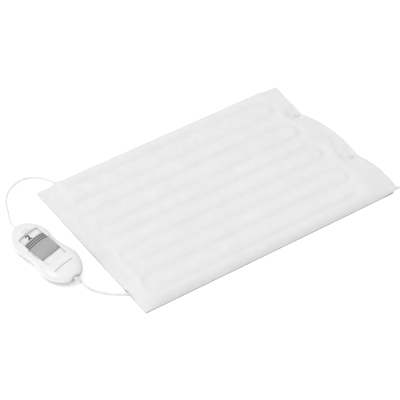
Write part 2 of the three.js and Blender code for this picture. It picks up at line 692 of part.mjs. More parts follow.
function buildHousingTop() {
  const outer = outerShell();
  const floorBottom = slide.recessFloor - slide.floorThick;
  const well = solidOf(plate(recessPlan(slide.rimWall), floorBottom, control.topHeight + overrun));
  const slotLength = slide.stemLength + 2 * (slide.travel + slide.stemClearance);
  const slot = solidOf(box([slide.slotWidth, slotLength, far], [0, slide.centre, 0]));
  let top = outer.subtract(innerShell()).add(well.intersect(outer));
  for (const place of screwPlaces()) {
    const pillar = solidOf(post(boss.topRadius, gap / 2, control.topHeight, place, boss.sides));
    top = top.add(pillar.intersect(outer));
  }
  for (const place of screwPlaces()) {
    top = top.subtract(solidOf(post(screw.shankRadius + gap, -overrun, screw.tip + gap, place, boss.sides)));
  }
  top = top.subtract(solidOf(plate(recessPlan(0), slide.recessFloor, control.topHeight + overrun)));
  return top.subtract(slot).subtract(endHoles()).intersect(upperHalf());
}

function buildHousingBottom() {
  const outer = outerShell();
  const inner = innerShell();
  let bottom = outer.subtract(inner);
  const boardBottom = board.top - board.thick;
  const [postX, postY] = board.postPlace;
  for (const place of [[-postX, -postY], [postX, -postY], [-postX, postY], [postX, postY]]) {
    const stand = solidOf(post(board.postRadius, -control.bottomHeight, boardBottom - gap, place, boss.sides));
    bottom = bottom.add(stand.intersect(outer));
  }
  for (const place of screwPlaces()) {
    const pillar = solidOf(post(boss.bottomRadius, -control.bottomHeight, -gap / 2, place, boss.sides));
    bottom = bottom.add(pillar.intersect(outer));
  }
  const headRoom = screw.headRadius + gap;
  for (const place of screwPlaces()) {
    const bore = solidOf(post(screw.shankRadius + gap, -far, overrun, place, boss.sides));
    const seat = solidOf(post(headRoom, -far, screw.seat + gap, place, boss.sides));
    bottom = bottom.subtract(bore).subtract(seat);
  }
  return bottom.subtract(endHoles()).intersect(lowerHalf());
}

function buildKnob() {
  const base = slide.recessFloor + gap;
  const half = slide.width / 2;
  const shape = new THREE.Shape();
  shape.moveTo(-half, base);
  shape.lineTo(half, base);
  for (let k = 0; k <= slide.crownSteps; k++) {
    const x = half * (1 - 2 * k / slide.crownSteps);
    shape.lineTo(x, slide.middleTop - (slide.middleTop - slide.sideTop) * (x / half) ** 2);
  }
  shape.closePath();
  const body = new THREE.ExtrudeGeometry(shape, { depth: slide.length, bevelEnabled: false });
  body.rotateX(90 * deg).translate(0, slide.centre + slide.length / 2, 0);
  const floorBottom = slide.recessFloor - slide.floorThick;
  const stemWidth = slide.slotWidth - 2 * slide.stemClearance;
  const stem = box(
    [stemWidth, slide.stemLength, base + gap - floorBottom],
    [0, slide.centre, (base + gap + floorBottom) / 2],
  );
  const plan = roundedRectangle(slide.width, slide.length, slide.cornerRadius, slide.cornerSteps);
  const rounded = solidOf(plate(plan, 0, control.topHeight + overrun).translate(0, slide.centre, 0));
  let knob = solidOf(body).intersect(rounded).add(solidOf(stem));
  for (let k = 0; k < slide.grooves; k++) {
    const y = slide.centre + slide.length / 2 - slide.firstGroove - k * slide.groovePitch;
    const bottom = slide.sideTop - slide.grooveDepth;
    const cutter = block(
      [-slide.width, y - slide.grooveWidth / 2, bottom],
      [slide.width, y + slide.grooveWidth / 2, control.topHeight + overrun],
    );
    knob = knob.subtract(cutter);
  }
  return knob;
}

// A flat strip bent to a line of points in the YZ plane
function bentStrip(line, thick, width) {
  const path = line.map(([y, z]) => new THREE.Vector2(y, z));
  const offset = path.map((p, i) => {
    const before = path[Math.max(i - 1, 0)];
    const after = path[Math.min(i + 1, path.length - 1)];
    const along = after.clone().sub(before).normalize();
    return [p.x - along.y * thick, p.y + along.x * thick];
  });
  const outline = [...path.map((p) => [p.x, p.y]), ...offset.reverse()];
  const strip = plate(outline, 0, width).translate(0, 0, -width / 2);
  return strip.rotateY(90 * deg).rotateX(90 * deg);
}

const shutterTop = slide.recessFloor - slide.floorThick - gap;
const shutterBottom = shutterTop - shutter.thick;
const contactTop = board.top + gap + contacts.thick;

function buildWiper() {
  const top = shutterBottom - gap - wiper.thick;
  const foot = contactTop + gap + wiper.thick;
  const line = [
    [-wiper.halfBase, top], [wiper.halfBase, top], [wiper.halfBase + wiper.bend, (top + foot) / 2],
    [wiper.halfBase, foot], [wiper.halfBase - wiper.foot, foot],
  ];
  return bentStrip(line, wiper.thick, wiper.width).translate(0, slide.centre, 0);
}

function buildContacts() {
  const footMiddle = slide.centre + wiper.halfBase - wiper.foot / 2;
  return Array.from({ length: contacts.count }, (_, k) => {
    const y = footMiddle + slide.travel * (k - (contacts.count - 1) / 2);
    const at = [0, y, contactTop - contacts.thick / 2];
    const geometry = box([contacts.width, contacts.length, contacts.thick], at);
    return named(`contact_${k + 1}`, geometry, looks.brass());
  });
}

function barrel(radius, from, to, [x, middle], sides) {
  const geometry = new THREE.CylinderGeometry(radius, radius, to - from, sides);
  return geometry.translate(x, middle + (from + to) / 2, board.top + gap + radius);
}

function buildFuse() {
  const half = fuse.length / 2;
  const inner = half - fuse.capLength;
  const glass = fuse.radius * 0.9;
  return [
    named('fuse_tube', barrel(glass, -inner + gap, inner - gap, fuse.place, fuse.sides), looks.glass()),
    named('fuse_cap_1', barrel(fuse.radius, -half, -inner, fuse.place, fuse.sides), looks.steel()),
    named('fuse_cap_2', barrel(fuse.radius, inner, half, fuse.place, fuse.sides), looks.steel()),
  ];
}

function buildRelief(kind, end) {
  const outside = control.endShare * halfControl;
  const wallInside = outside - control.endWall;
  const flangeEnd = wallInside - gap;
  const flangeStart = flangeEnd - relief.flangeThick;
  const profile = [
    [0, flangeStart - relief.jacketLength], [kind.jacketRadius, flangeStart - relief.jacketLength],
    [kind.jacketRadius, flangeStart], [relief.flangeRadius, flangeStart], [relief.flangeRadius, flangeEnd],
    [relief.neckRadius, flangeEnd], [relief.neckRadius, outside], [kind.exitRadius, outside + gap],
    [kind.tipRadius, outside + kind.outside], [0, outside + kind.outside],
  ].map(([r, y]) => new THREE.Vector2(r, y));
  const geometry = new THREE.LatheGeometry(profile, relief.sides);
  return end > 0 ? geometry : geometry.rotateZ(180 * deg);
}

function buildLead(side, end) {
  const outside = control.endShare * halfControl;
  const start = outside - control.endWall - gap - relief.flangeThick - relief.jacketLength - gap;
  const finish = board.length / 2 - lead.inboard;
  const landed = board.top + gap + lead.radius;
  const points = [];
  for (let i = 0; i <= lead.steps; i++) {
    const share = i / lead.steps;
    const x = side * (lead.spread + (lead.landing - lead.spread) * smoothShare(share));
    points.push([x, end * (start + (finish - start) * share), landed * smoothShare(share * 2)]);
  }
  return tubeThrough(points, lead.radius, lead.sides);
}

function buildScrew([x, y]) {
  const profile = [
    [0, screw.seat - screw.headHeight], [screw.headRadius, screw.seat - screw.headHeight],
    [screw.headRadius, screw.seat], [screw.shankRadius, screw.seat], [screw.shankRadius, screw.tip],
    [0, screw.tip],
  ];
  return turned(profile, screw.sides).translate(x, y, 0);
}

function buildControl() {
  const boardMiddle = board.top - board.thick / 2;
  const [rx, ry] = resistor.place;
  const onBoard = board.top + gap;
  const shutterSize = [shutter.width, shutter.length, shutter.thick];
  const shutterAt = [0, slide.centre, (shutterTop + shutterBottom) / 2];
  const resistorSize = [resistor.width, resistor.length, resistor.height];
  const resistorAt = [rx, ry, onBoard + resistor.height / 2];
  const half = diode.length / 2;
  const pieces = [
    named('housing_top', buildHousingTop(), looks.whitePlastic()),
    named('housing_bottom', buildHousingBottom(), looks.whitePlastic()),
    named('slide_knob', buildKnob(), looks.greyPlastic()),
    named('slide_shutter', box(shutterSize, shutterAt), looks.whitePlastic()),
    named('contact_wiper', buildWiper(), looks.brass()),
    named('circuit_board', box([board.width, board.length, board.thick], [0, 0, boardMiddle]), looks.board()),
    ...buildContacts(),
    ...buildFuse(),
    named('diode', barrel(diode.radius, -half, half, diode.place, diode.sides), looks.dark()),
    named('safety_resistor', box(resistorSize, resistorAt), looks.felt()),
    named('relief_pad_cord', buildRelief(relief.pad, 1), looks.cord()),
    named('relief_mains', buildRelief(relief.mains, -1), looks.cord()),
  ];
  screwPlaces().forEach((place, k) => pieces.push(named(`screw_${k + 1}`, buildScrew(place), looks.steel())));
  for (const [end, which] of [[1, 'pad'], [-1, 'mains']]) {
    for (const [side, letter] of [[-1, 'a'], [1, 'b']]) {
      pieces.push(named(`lead_${which}_${letter}`, buildLead(side, end), looks.cord()));
    }
  }
  const pose = new THREE.Matrix4().makeRotationZ(control.heading * deg);
  pose.multiply(new THREE.Matrix4().makeRotationY(-control.tilt * deg)).setPosition(...controlPlace);
  pieces.forEach((piece) => piece.geometry.applyMatrix4(pose));
  return pieces;
}

// The coil: the cord spirals in on the lower layer, turns back and spirals out on the upper one
const coilPitch = mainsCord.diameter + coil.clearance;
const coilMean = coil.meanDiameterShare * mainsCord.diameter / 2;
const reversal = coil.turnsPerLayer + 0.25;
const coilInner = coilMean - coilPitch * reversal / 2;
const coilTurns = 2 * reversal;
const coilLow = mainsCord.diameter / 2 + tie.thick + gap;

function coilPoint(turns) {
  const radius = coilInner + coilPitch * Math.abs(turns - reversal);
  const angle = (coil.startAngle - 360 * turns) * deg;
  const climbed = clampShare((turns - coil.turnsPerLayer) * 2);
  const x = coilCentre[0] + radius * Math.cos(angle);
  const y = coilCentre[1] + radius * Math.sin(angle);
  return [x, y, coilLow + coilPitch * climbed];
}

// A straight end, one cord diameter long, beyond either end of the spiral
function coilEnd(turns, ahead) {
  const [x, y, z] = coilPoint(turns);
  const angle = (coil.startAngle - 360 * turns) * deg;
  const reach = ahead * mainsCord.diameter;
  return [x + reach * Math.sin(angle), y - reach * Math.cos(angle), z];
}

function coilLine() {
  const steps = Math.round(coilTurns * coil.stepsPerTurn);
  const points = Array.from({ length: steps + 1 }, (_, i) => coilPoint(coilTurns * i / steps));
  return [coilEnd(0, -1), ...points, coilEnd(coilTurns, 1)];
}

// Least clear distance between parts of the coil that are not neighbours along it
function coilSelfGap() {
  const steps = Math.round(coilTurns * coil.stepsPerTurn * 4);
  const points = Array.from({ length: steps + 1 }, (_, i) => coilPoint(coilTurns * i / steps));
  const apart = coil.stepsPerTurn * 2;
  let least = Infinity;
  for (let i = 0; i < points.length; i++) {
    for (let j = i + apart; j < points.length; j++) {
      least = Math.min(least, Math.hypot(...points[i].map((value, k) => value - points[j][k])));
    }
  }
  return least - mainsCord.diameter;
}

function buildTie() {
  const first = ((coil.startAngle - tie.angle + 360) % 360) / 360;
  const passes = Array.from({ length: Math.floor(coilTurns) }, (_, n) => first + n);
  const radii = passes.map((turns) => coilInner + coilPitch * Math.abs(turns - reversal));
  const reach = mainsCord.diameter / 2 + gap + tie.slack;
  const inside = Math.min(...radii) - reach;
  const outside = Math.max(...radii) + reach;
  const width = outside - inside;
  const height = coilPitch + mainsCord.diameter + 2 * gap;
  const asPath = (points, Kind) => new Kind(points.map(([x, y]) => new THREE.Vector2(x, y)));
  const grow = 2 * tie.thick;
  const outer = roundedRectangle(width + grow, height + grow, tie.corner + tie.thick);
  const ring = asPath(outer, THREE.Shape);
  ring.holes.push(asPath(roundedRectangle(width, height, tie.corner), THREE.Path));
  const geometry = new THREE.ExtrudeGeometry(ring, { depth: tie.width, bevelEnabled: false });
  geometry.translate((inside + outside) / 2, coilLow + coilPitch / 2, -tie.width / 2).rotateX(90 * deg);
  return geometry.rotateZ(tie.angle * deg).translate(...coilCentre);
}

function plugRing(width, thick, corner, y) {
  const outline = roundedRectangle(width, thick, corner, plug.cornerSteps);
  return outline.map(([x, z]) => [x, y, z]).reverse();
}

function buildPlug() {
  const shoulder = -plug.length * plug.shoulderShare;
  const rings = [
    plugRing(plug.width, plug.thick, plug.corner, -plug.length),
    plugRing(plug.width, plug.thick, plug.corner, shoulder),
    plugRing(plug.rearWidth, plug.rearThick, plug.rearCorner, -gap),
  ];
  const profile = [
    [0, 0], [plug.reliefRadius, 0], [plug.reliefTip, plug.reliefLength], [0, plug.reliefLength],
  ].map(([r, y]) => new THREE.Vector2(r, y));
  const at = plugPlace;
  const pins = [1, 2].map((number) => {
    const side = number === 1 ? -1 : 1;
    const pin = new THREE.CylinderGeometry(plug.pinRadius, plug.pinRadius, plug.pinLength, plug.pinSides);
    const y = -plug.length - gap - plug.pinLength / 2;
    pin.translate(side * plug.pinSpacing / 2, y, 0).translate(...at);
    return named(`plug_pin_${number}`, pin, looks.brass());
  });
  return [
    named('plug_body', loft(rings).translate(...at), looks.whitePlastic()),
    named('plug_relief', new THREE.LatheGeometry(profile, plug.reliefSides).translate(...at), looks.cord()),
    ...pins,
  ];
}

function buildCords() {
  const spiral = coilLine();
  return [
    named('pad_cord', cordAlong(padCordLine, padCord), looks.cord()),
    named('mains_cord_run', cordAlong(mainsLine, mainsCord), looks.cord()),
    named('mains_cord_coil', tubeThrough(spiral, mainsCord.diameter / 2, coil.sides), looks.cord()),
    named('coil_tie', buildTie(), looks.dark()),
    named('mains_cord_tail', cordAlong(tailLine, mainsCord), looks.cord()),
  ];
}

const group = new THREE.Group();
group.name = 'heating_pad_with_controller';
group.add(...buildPad());
snapPlaces.forEach((place, k) => group.add(...buildSnap(place, k + 1)));
group.add(...buildControl(), ...buildCords(), ...buildPlug());
console.log(`coil: least clear distance ${coilSelfGap().toFixed(3)} mm over ${coilTurns.toFixed(2)} turns`);

export default group;
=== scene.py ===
import math
import bpy
from mathutils import Matrix, Vector, noise


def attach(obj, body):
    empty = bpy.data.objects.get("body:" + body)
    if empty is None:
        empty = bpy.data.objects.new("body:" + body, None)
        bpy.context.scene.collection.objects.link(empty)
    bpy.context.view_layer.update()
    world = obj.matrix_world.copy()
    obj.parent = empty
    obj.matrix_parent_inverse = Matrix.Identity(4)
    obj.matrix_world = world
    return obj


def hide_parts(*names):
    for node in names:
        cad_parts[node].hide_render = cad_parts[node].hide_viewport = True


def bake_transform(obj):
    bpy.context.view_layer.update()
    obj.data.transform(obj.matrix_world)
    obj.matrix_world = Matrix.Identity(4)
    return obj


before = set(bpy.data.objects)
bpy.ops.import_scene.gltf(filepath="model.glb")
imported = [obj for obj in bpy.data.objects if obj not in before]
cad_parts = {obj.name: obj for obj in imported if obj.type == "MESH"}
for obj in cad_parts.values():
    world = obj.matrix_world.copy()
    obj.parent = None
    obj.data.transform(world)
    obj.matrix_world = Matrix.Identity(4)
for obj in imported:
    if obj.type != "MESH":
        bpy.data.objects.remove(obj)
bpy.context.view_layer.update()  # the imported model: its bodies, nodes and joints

mm = 0.001
print("frame loaded:", len(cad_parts), "nodes")

# The camera, at the photograph's angle: it circles a point on the table
view = {
    "azimuth": -28.9683, "elevation": 40.018, "roll": -5.2819,  # degrees
    "distance": 2353.5412, "aim": (-24.3694, -0.4119, 0),  # mm
    "lens": 153.34, "sensor": 36,
}


def linked(name, data):  # an object of its own for a mesh, curve, lamp or camera
    piece = bpy.data.objects.new(name, data)
    bpy.context.scene.collection.objects.link(piece)
    return piece


def placeCamera():
    azimuth, elevation, roll = (math.radians(view[k]) for k in ("azimuth", "elevation", "roll"))
    flat = math.cos(elevation)
    back = Vector((math.sin(azimuth) * flat, -math.cos(azimuth) * flat, math.sin(elevation)))
    right = Vector((math.cos(azimuth), math.sin(azimuth), 0))
    up = back.cross(right)
    across = right * math.cos(roll) + up * math.sin(roll)
    upright = up * math.cos(roll) - right * math.sin(roll)
    lens = bpy.data.cameras.new("camera")
    lens.lens, lens.sensor_width = view["lens"], view["sensor"]
    lens.clip_start, lens.clip_end = 0.05, 30
    camera = linked("camera", lens)
    turn = Matrix((across, upright, back)).transposed()
    eye = (Vector(view["aim"]) + back * view["distance"]) * mm
    camera.matrix_world = Matrix.Translation(eye) @ turn.to_4x4()
    bpy.context.scene.camera = camera


placeCamera()


# Picking things up and finishing them
def putDown():
    if bpy.context.mode != "OBJECT":
        bpy.ops.object.mode_set(mode="OBJECT")
    bpy.ops.object.select_all(action="DESELECT")


def takeUp(piece, mode="OBJECT"):
    putDown()
    piece.select_set(True)
    bpy.context.view_layer.objects.active = piece
    bpy.ops.object.mode_set(mode=mode)


def edited(piece, operator, **settings):  # one mesh operator, on the whole piece
    takeUp(piece, "EDIT")
    bpy.ops.mesh.select_all(action="SELECT")
    getattr(bpy.ops.mesh, operator)(**settings)
    putDown()
    return piece


def newest(name):  # the primitive just added gets its name
    piece = bpy.context.active_object
    piece.name = name
    piece.data.name = name
    return piece


def applied(piece, kind, **settings):
    takeUp(piece)
    modifier = piece.modifiers.new(kind.title(), kind)
    for name, value in settings.items():
        setattr(modifier, name, value)
    bpy.ops.object.modifier_apply(modifier=modifier.name)
    return piece


def carved(piece, tool, operation="DIFFERENCE"):
    applied(piece, "BOOLEAN", object=tool, operation=operation, solver="EXACT")
    bpy.data.objects.remove(tool)
    return piece


def softened(piece, width, segments, angle):
    return applied(piece, "BEVEL", width=width * mm, segments=segments, limit_method="ANGLE",
                   angle_limit=math.radians(angle), use_clamp_overlap=False)


def smoothed(piece, angle):
    takeUp(piece)
    bpy.ops.object.shade_smooth_by_angle(angle=math.radians(angle))
    return piece


def shifted(x, y, z=0):  # mm
    return Matrix.Translation(Vector((x, y, z)) * mm)


def turned(degrees, axis):
    return Matrix.Rotation(math.radians(degrees), 4, axis)


def atOrigin(piece, pose=None):  # its place goes into its mesh
    takeUp(piece)
    bpy.ops.object.transform_apply(location=True, rotation=True, scale=True)
    if pose:
        piece.data.transform(pose)
    return piece


def pick(piece, kind, wanted):  # selects faces by centre and normal, or edges by their two ends
    putDown()
    points = piece.data.vertices
    for part in (points, piece.data.edges, piece.data.polygons):
        part.foreach_set("select", [False] * len(part))
    if kind == "FACE":
        for face in piece.data.polygons:
            face.select = wanted(face.center / mm, face.normal)
    else:
        for edge in piece.data.edges:
            edge.select = wanted(*(points[k].co / mm for k in edge.vertices))
    takeUp(piece, "EDIT")
    bpy.ops.mesh.select_mode(type=kind)


def rounded(piece, radius, segments, wanted):  # rounds the edges whose two ends are wanted
    pick(piece, "EDGE", wanted)
    bpy.ops.mesh.bevel(offset=radius * mm, segments=segments, affect="EDGES", clamp_overlap=False)
    putDown()
    return piece


def block(name, low, high):  # mm
    putDown()
    middle = [(a + b) / 2 * mm for a, b in zip(low, high)]
    size = [(b - a) * mm for a, b in zip(low, high)]
    bpy.ops.mesh.primitive_cube_add(size=1, location=middle, scale=size)
    return atOrigin(newest(name))


def roundedBlock(name, width, length, radius, low, high, middle=(0, 0), segments=8):
    x, y = middle
    piece = block(name, (x - width / 2, y - length / 2, low), (x + width / 2, y + length / 2, high))
    return rounded(piece, radius, segments, lambda a, b: abs(a.z - b.z) > 0.01)


def meshPiece(name, points, edges, faces):  # points in metres
    mesh = bpy.data.meshes.new(name)
    mesh.from_pydata(points, edges, faces)
    return linked(name, mesh)


def spunPiece(name, profile, steps=48):  # profile: (radius, height) in mm, turned about Z
    points = [(r * mm, 0, z * mm) for r, z in profile]
    piece = meshPiece(name, points, [(k, k + 1) for k in range(len(profile) - 1)], [])
    edited(piece, "spin", steps=steps, angle=2 * math.pi, center=(0, 0, 0), axis=(0, 0, 1))
    edited(piece, "remove_doubles", threshold=0.002 * mm)
    return edited(piece, "normals_make_consistent", inside=False)


def spunAlong(name, profile, side, pose, steps=40, angle=32):  # turned, then laid along Y towards one side
    piece = spunPiece(name, profile, steps)
    piece.data.transform(turned(-90 * side, "X"))
    return atOrigin(smoothed(piece, angle), pose)


def gridPiece(name, plan, height):  # plan: rows of places (x, y) in mm, all the same length
    count = len(plan[0])
    points = [(x * mm, y * mm, height(x, y) * mm) for row in plan for x, y in row]
    faces = [(i * count + j, i * count + j + 1, (i + 1) * count + j + 1, (i + 1) * count + j)
             for i in range(len(plan) - 1) for j in range(count - 1)]
    return meshPiece(name, points, [], faces)


# Materials
def colour(hexValue):  # sRGB hex to linear
    parts = [int(hexValue[k:k + 2], 16) / 255 for k in (1, 3, 5)]
    return (*[c / 12.92 if c <= 0.04045 else ((c + 0.055) / 1.055) ** 2.4 for c in parts], 1)


def add(tree, kind, links=None, **settings):  # settings are sockets by name, or the node's own
    node = tree.nodes.new(kind)
    for name, value in settings.items():
        if hasattr(node, name):
            setattr(node, name, value)
        else:
            node.inputs[name.replace("_", " ")].default_value = value
    for name, source in (links or {}).items():
        tree.links.new(source, node.inputs[name])
    return node


def startMaterial(name, **shaderSettings):
    material = bpy.data.materials.new(name)
    material.use_nodes = True
    tree = material.node_tree
    shader = tree.nodes["Principled BSDF"]
    for socket, value in shaderSettings.items():
        shader.inputs[socket.replace("_", " ")].default_value = value
    place = add(tree, "ShaderNodeTexCoord").outputs["Object"]
    return material, tree, shader, place


def perMetre(millimetres):  # a pattern's scale, from the size of one of its features
    return 1000 / millimetres


def noised(tree, place, size, detail, **settings):  # clouds of a size in mm
    settings.update(Scale=perMetre(size), Detail=detail)
    return add(tree, "ShaderNodeTexNoise", {"Vector": place}, **settings).outputs["Fac"]


def tinted(tree, shader, factor, first, second):  # colour varies between two hex values
    ramp = add(tree, "ShaderNodeValToRGB", {"Fac": factor})
    for stop, place, value in zip(ramp.color_ramp.elements, (0.3, 0.7), (first, second)):
        stop.position, stop.color = place, colour(value)
    tree.links.new(ramp.outputs["Color"], shader.inputs["Base Color"])
    return ramp.outputs["Color"]


def dimmed(tree, shader, tint, attribute, least):  # the colour falls to a share where the attribute is 1
    where = add(tree, "ShaderNodeAttribute", attribute_name=attribute)
    left = add(tree, "ShaderNodeMapRange", {"Value": where.outputs["Fac"]}, To_Min=1, To_Max=least)
    links = {"Vector": tint, "Scale": left.outputs["Result"]}
    mixed = add(tree, "ShaderNodeVectorMath", links, operation="SCALE")
    tree.links.new(mixed.outputs["Vector"], shader.inputs["Base Color"])


def roughened(tree, shader, factor, low, high):
    spread = add(tree, "ShaderNodeMapRange", {"Value": factor}, To_Min=low, To_Max=high)
    tree.links.new(spread.outputs["Result"], shader.inputs["Roughness"])


def bumped(tree, shader, *heights):  # heights: (socket, millimetres) added one on another
    links = {}
    for height, depth in heights:
        bump = add(tree, "ShaderNodeBump", {"Height": height, **links}, Strength=1, Distance=depth * mm)
        links["Normal"] = bump.outputs["Normal"]
    tree.links.new(links["Normal"], shader.inputs["Normal"])


def brushedCotton(name, base, shade):
    # Cotton flannel, woven and brushed: a matt, slightly uneven white with a soft nap
    material, tree, shader, place = startMaterial(name, Roughness=0.95, Specular_IOR_Level=0.15,
                                                  Sheen_Weight=0.12, Sheen_Roughness=0.5)
    tint = tinted(tree, shader, noised(tree, place, 26, 4, Roughness=0.6), shade, base)
    # painted shade: along the stitched lines and the seams the colour is darkened for the shade that falls
    # there
    dimmed(tree, shader, tint, "paintedShade", 0.8)
    # threads 0.35 mm apart are too fine to show, so they are drawn 0.9 mm apart
    stretch = add(tree, "ShaderNodeMapping", {"Vector": place}, Scale=(1, 1, 0.2)).outputs["Vector"]
    threads = [add(tree, "ShaderNodeTexWave", {"Vector": stretch}, bands_direction=direction,
                   Scale=perMetre(0.9) / 20, Distortion=1.5, Detail=1).outputs["Fac"]
               for direction in ("X", "Y")]
    nap = noised(tree, place, 0.7, 3, Roughness=0.7)
    pile = noised(tree, place, 4, 4, Roughness=0.65)
    bumped(tree, shader, (threads[0], 0.02), (threads[1], 0.02), (nap, 0.05), (pile, 0.06))
    return material


def needledFelt(name, base, shade):
    # Polyester wadding, needled: a dull cream mat of short fibres
    material, tree, shader, place = startMaterial(name, Roughness=1, Specular_IOR_Level=0.1, Sheen_Weight=0.2)
    fibres = noised(tree, place, 1.2, 5, Distortion=2.5)
    tinted(tree, shader, fibres, shade, base)
    bumped(tree, shader, (noised(tree, place, 9, 3), 0.5), (fibres, 0.3))
    return material


def mouldedPlastic(name, base, shade, roughness, grain=0.5, depth=0.012, coat=0, paintedGrooveShade=0):
    # Injection-moulded plastic: even colour, faint flow marks, a very fine skin, perhaps painted shade
    # darkening its grooves
    material, tree, shader, place = startMaterial(name, Roughness=roughness, IOR=1.5, Coat_Weight=coat,
                                                  Coat_Roughness=0.08)
    flow = noised(tree, place, 30, 3)
    tint = tinted(tree, shader, flow, shade, base)
    # painted shade: the colour is darkened where the attribute marks the grooves
    if paintedGrooveShade:
        dimmed(tree, shader, tint, "paintedGrooveShade", 1 - paintedGrooveShade)
    roughened(tree, shader, flow, roughness - 0.03, roughness + 0.05)
    bumped(tree, shader, (noised(tree, place, grain, 2, Roughness=0.6), depth))
    return material


def softPvc(name, base, shade):
    # Extruded PVC cord jacket: satin, with faint draw lines and slight waviness along it
    material, tree, shader, place = startMaterial(name, Roughness=0.42, IOR=1.53)
    waves, skin = noised(tree, place, 12, 2), noised(tree, place, 0.6, 3)
    tinted(tree, shader, waves, shade, base)
    roughened(tree, shader, skin, 0.36, 0.5)
    bumped(tree, shader, (waves, 0.12), (skin, 0.015))
    return material


def platedMetal(name, base, shade, roughness):
    # Stamped and plated metal: bright, with fine drawing lines and small dull spots
    material, tree, shader, place = startMaterial(name, Metallic=1, Roughness=roughness)
    lines = add(tree, "ShaderNodeMapping", {"Vector": place}, Scale=(1, 1, 12)).outputs["Vector"]
    drawn = noised(tree, lines, 0.8, 3)
    tinted(tree, shader, noised(tree, place, 3, 4), shade, base)
    roughened(tree, shader, drawn, roughness - 0.08, roughness + 0.12)
    bumped(tree, shader, (drawn, 0.01))
    return material


def glassEpoxy(name):
    # Glass-epoxy laminate under green solder mask: satin, with the glass weave just showing
    material, tree, shader, place = startMaterial(name, Roughness=0.4, IOR=1.52, Coat_Weight=0.3)
    weave = add(tree, "ShaderNodeTexChecker", {"Vector": place}, Scale=perMetre(0.8),
                Color1=colour("#2f6b3c"), Color2=colour("#357443"))
    cloud = noised(tree, place, 7, 3)
    tree.links.new(weave.outputs["Color"], shader.inputs["Base Color"])
    roughened(tree, shader, cloud, 0.32, 0.5)
    bumped(tree, shader, (cloud, 0.02))
    return material


def clearGlass(name):
    # Drawn soda-lime tube: clear, glossy, with faint streaks
    material, tree, shader, place = startMaterial(name, Roughness=0.05, IOR=1.52, Transmission_Weight=0.9,
                                                  Base_Color=colour("#e9eeee"))
    roughened(tree, shader, noised(tree, place, 2, 2), 0.03, 0.1)
    return material


def cementBody(name):
    # Cement-filled resistor: a chalky off-white with pits
    material, tree, shader, place = startMaterial(name, Roughness=0.9, Specular_IOR_Level=0.3)
    pits = noised(tree, place, 0.9, 4)
    tinted(tree, shader, pits, "#cfcabf", "#dedad0")
    bumped(tree, shader, (pits, 0.08))
    return material


finish = {
    "cloth": brushedCotton("brushed_cotton_white", "#dadada", "#d6d6d6"),
    # painted shade: the lower cloth is the same white cotton, darker so that its edge under the seam reads as
    # a shade line
    "clothUnderShaded": brushedCotton("brushed_cotton_underside_painted_shade", "#c4c4c4", "#bebebe"),
    "thread": brushedCotton("spun_polyester_thread", "#e6e6e6", "#dcdcdc"),
    "felt": needledFelt("needled_polyester_wadding", "#dedad2", "#cfcabf"),
    "silicone": softPvc("extruded_silicone_insulation", "#bab6ae", "#aca89f"),
    "whiteShell": mouldedPlastic("moulded_abs_gloss_white", "#dadada", "#d7d7d7", 0.24, coat=0.15),
    # painted shade: the lower shell is the same white ABS as the upper one, greyer so that its rim reads as
    # in shade
    "lowerShellShaded": mouldedPlastic("moulded_abs_gloss_white_painted_shade", "#b8b8b9", "#b3b3b4", 0.26, coat=0.15),
    # painted shade darkens the grey knob's grooves to a quarter of its colour
    "greyKnob": mouldedPlastic("moulded_abs_satin_grey", "#9f9fa0", "#99999a", 0.46, grain=0.4, depth=0.02,
                               paintedGrooveShade=0.75),
    "plugPvc": mouldedPlastic("moulded_pvc_white", "#e6e6e3", "#dfdfdc", 0.38, grain=0.8, depth=0.03),
    "jacket": softPvc("extruded_pvc_jacket_white", "#dcdcdb", "#d6d6d5"),
    "boot": softPvc("moulded_pvc_boot_white", "#d2d2d1", "#ccccca"),
    "strap": mouldedPlastic("woven_nylon_strap_dark", "#37373a", "#2a2a2d", 0.7, grain=1.2, depth=0.15),
    "dark": mouldedPlastic("moulded_pbt_black", "#2f2f32", "#262629", 0.5, grain=0.6, depth=0.02),
    "ink": mouldedPlastic("printed_ink_grey", "#3a3a3d", "#303033", 0.6),
    "paleInk": mouldedPlastic("printed_ink_pale_grey", "#adadb0", "#a6a6a9", 0.6),
    "capPearl": mouldedPlastic("moulded_acetal_pearl_white", "#d2d2d2", "#cdcdcd", 0.16, coat=0.6),
    "steel": platedMetal("rolled_steel_zinc_plated", "#b9bbbd", "#a7a9ab", 0.35),
    "brass": platedMetal("rolled_brass_polished", "#c5a55a", "#ad8f49", 0.28),
    "pinMetal": platedMetal("turned_brass_nickel_plated", "#cfcdc8", "#bdbbb5", 0.25),
    "board": glassEpoxy("glass_epoxy_board_green"),
    "glass": clearGlass("drawn_glass_tube"),
    "cement": cementBody("cement_filled_resistor"),
}


def dress(piece, look, body, slot, *replaced):  # its material and body, and the CAD nodes it stands for, which are hidden; slot is not used
    piece.data.materials.clear()
    piece.data.materials.append(finish[look])
    if body:
        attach(piece, body)
    if replaced:
        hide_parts(*replaced)
    return piece


print("materials ready:", len(finish))

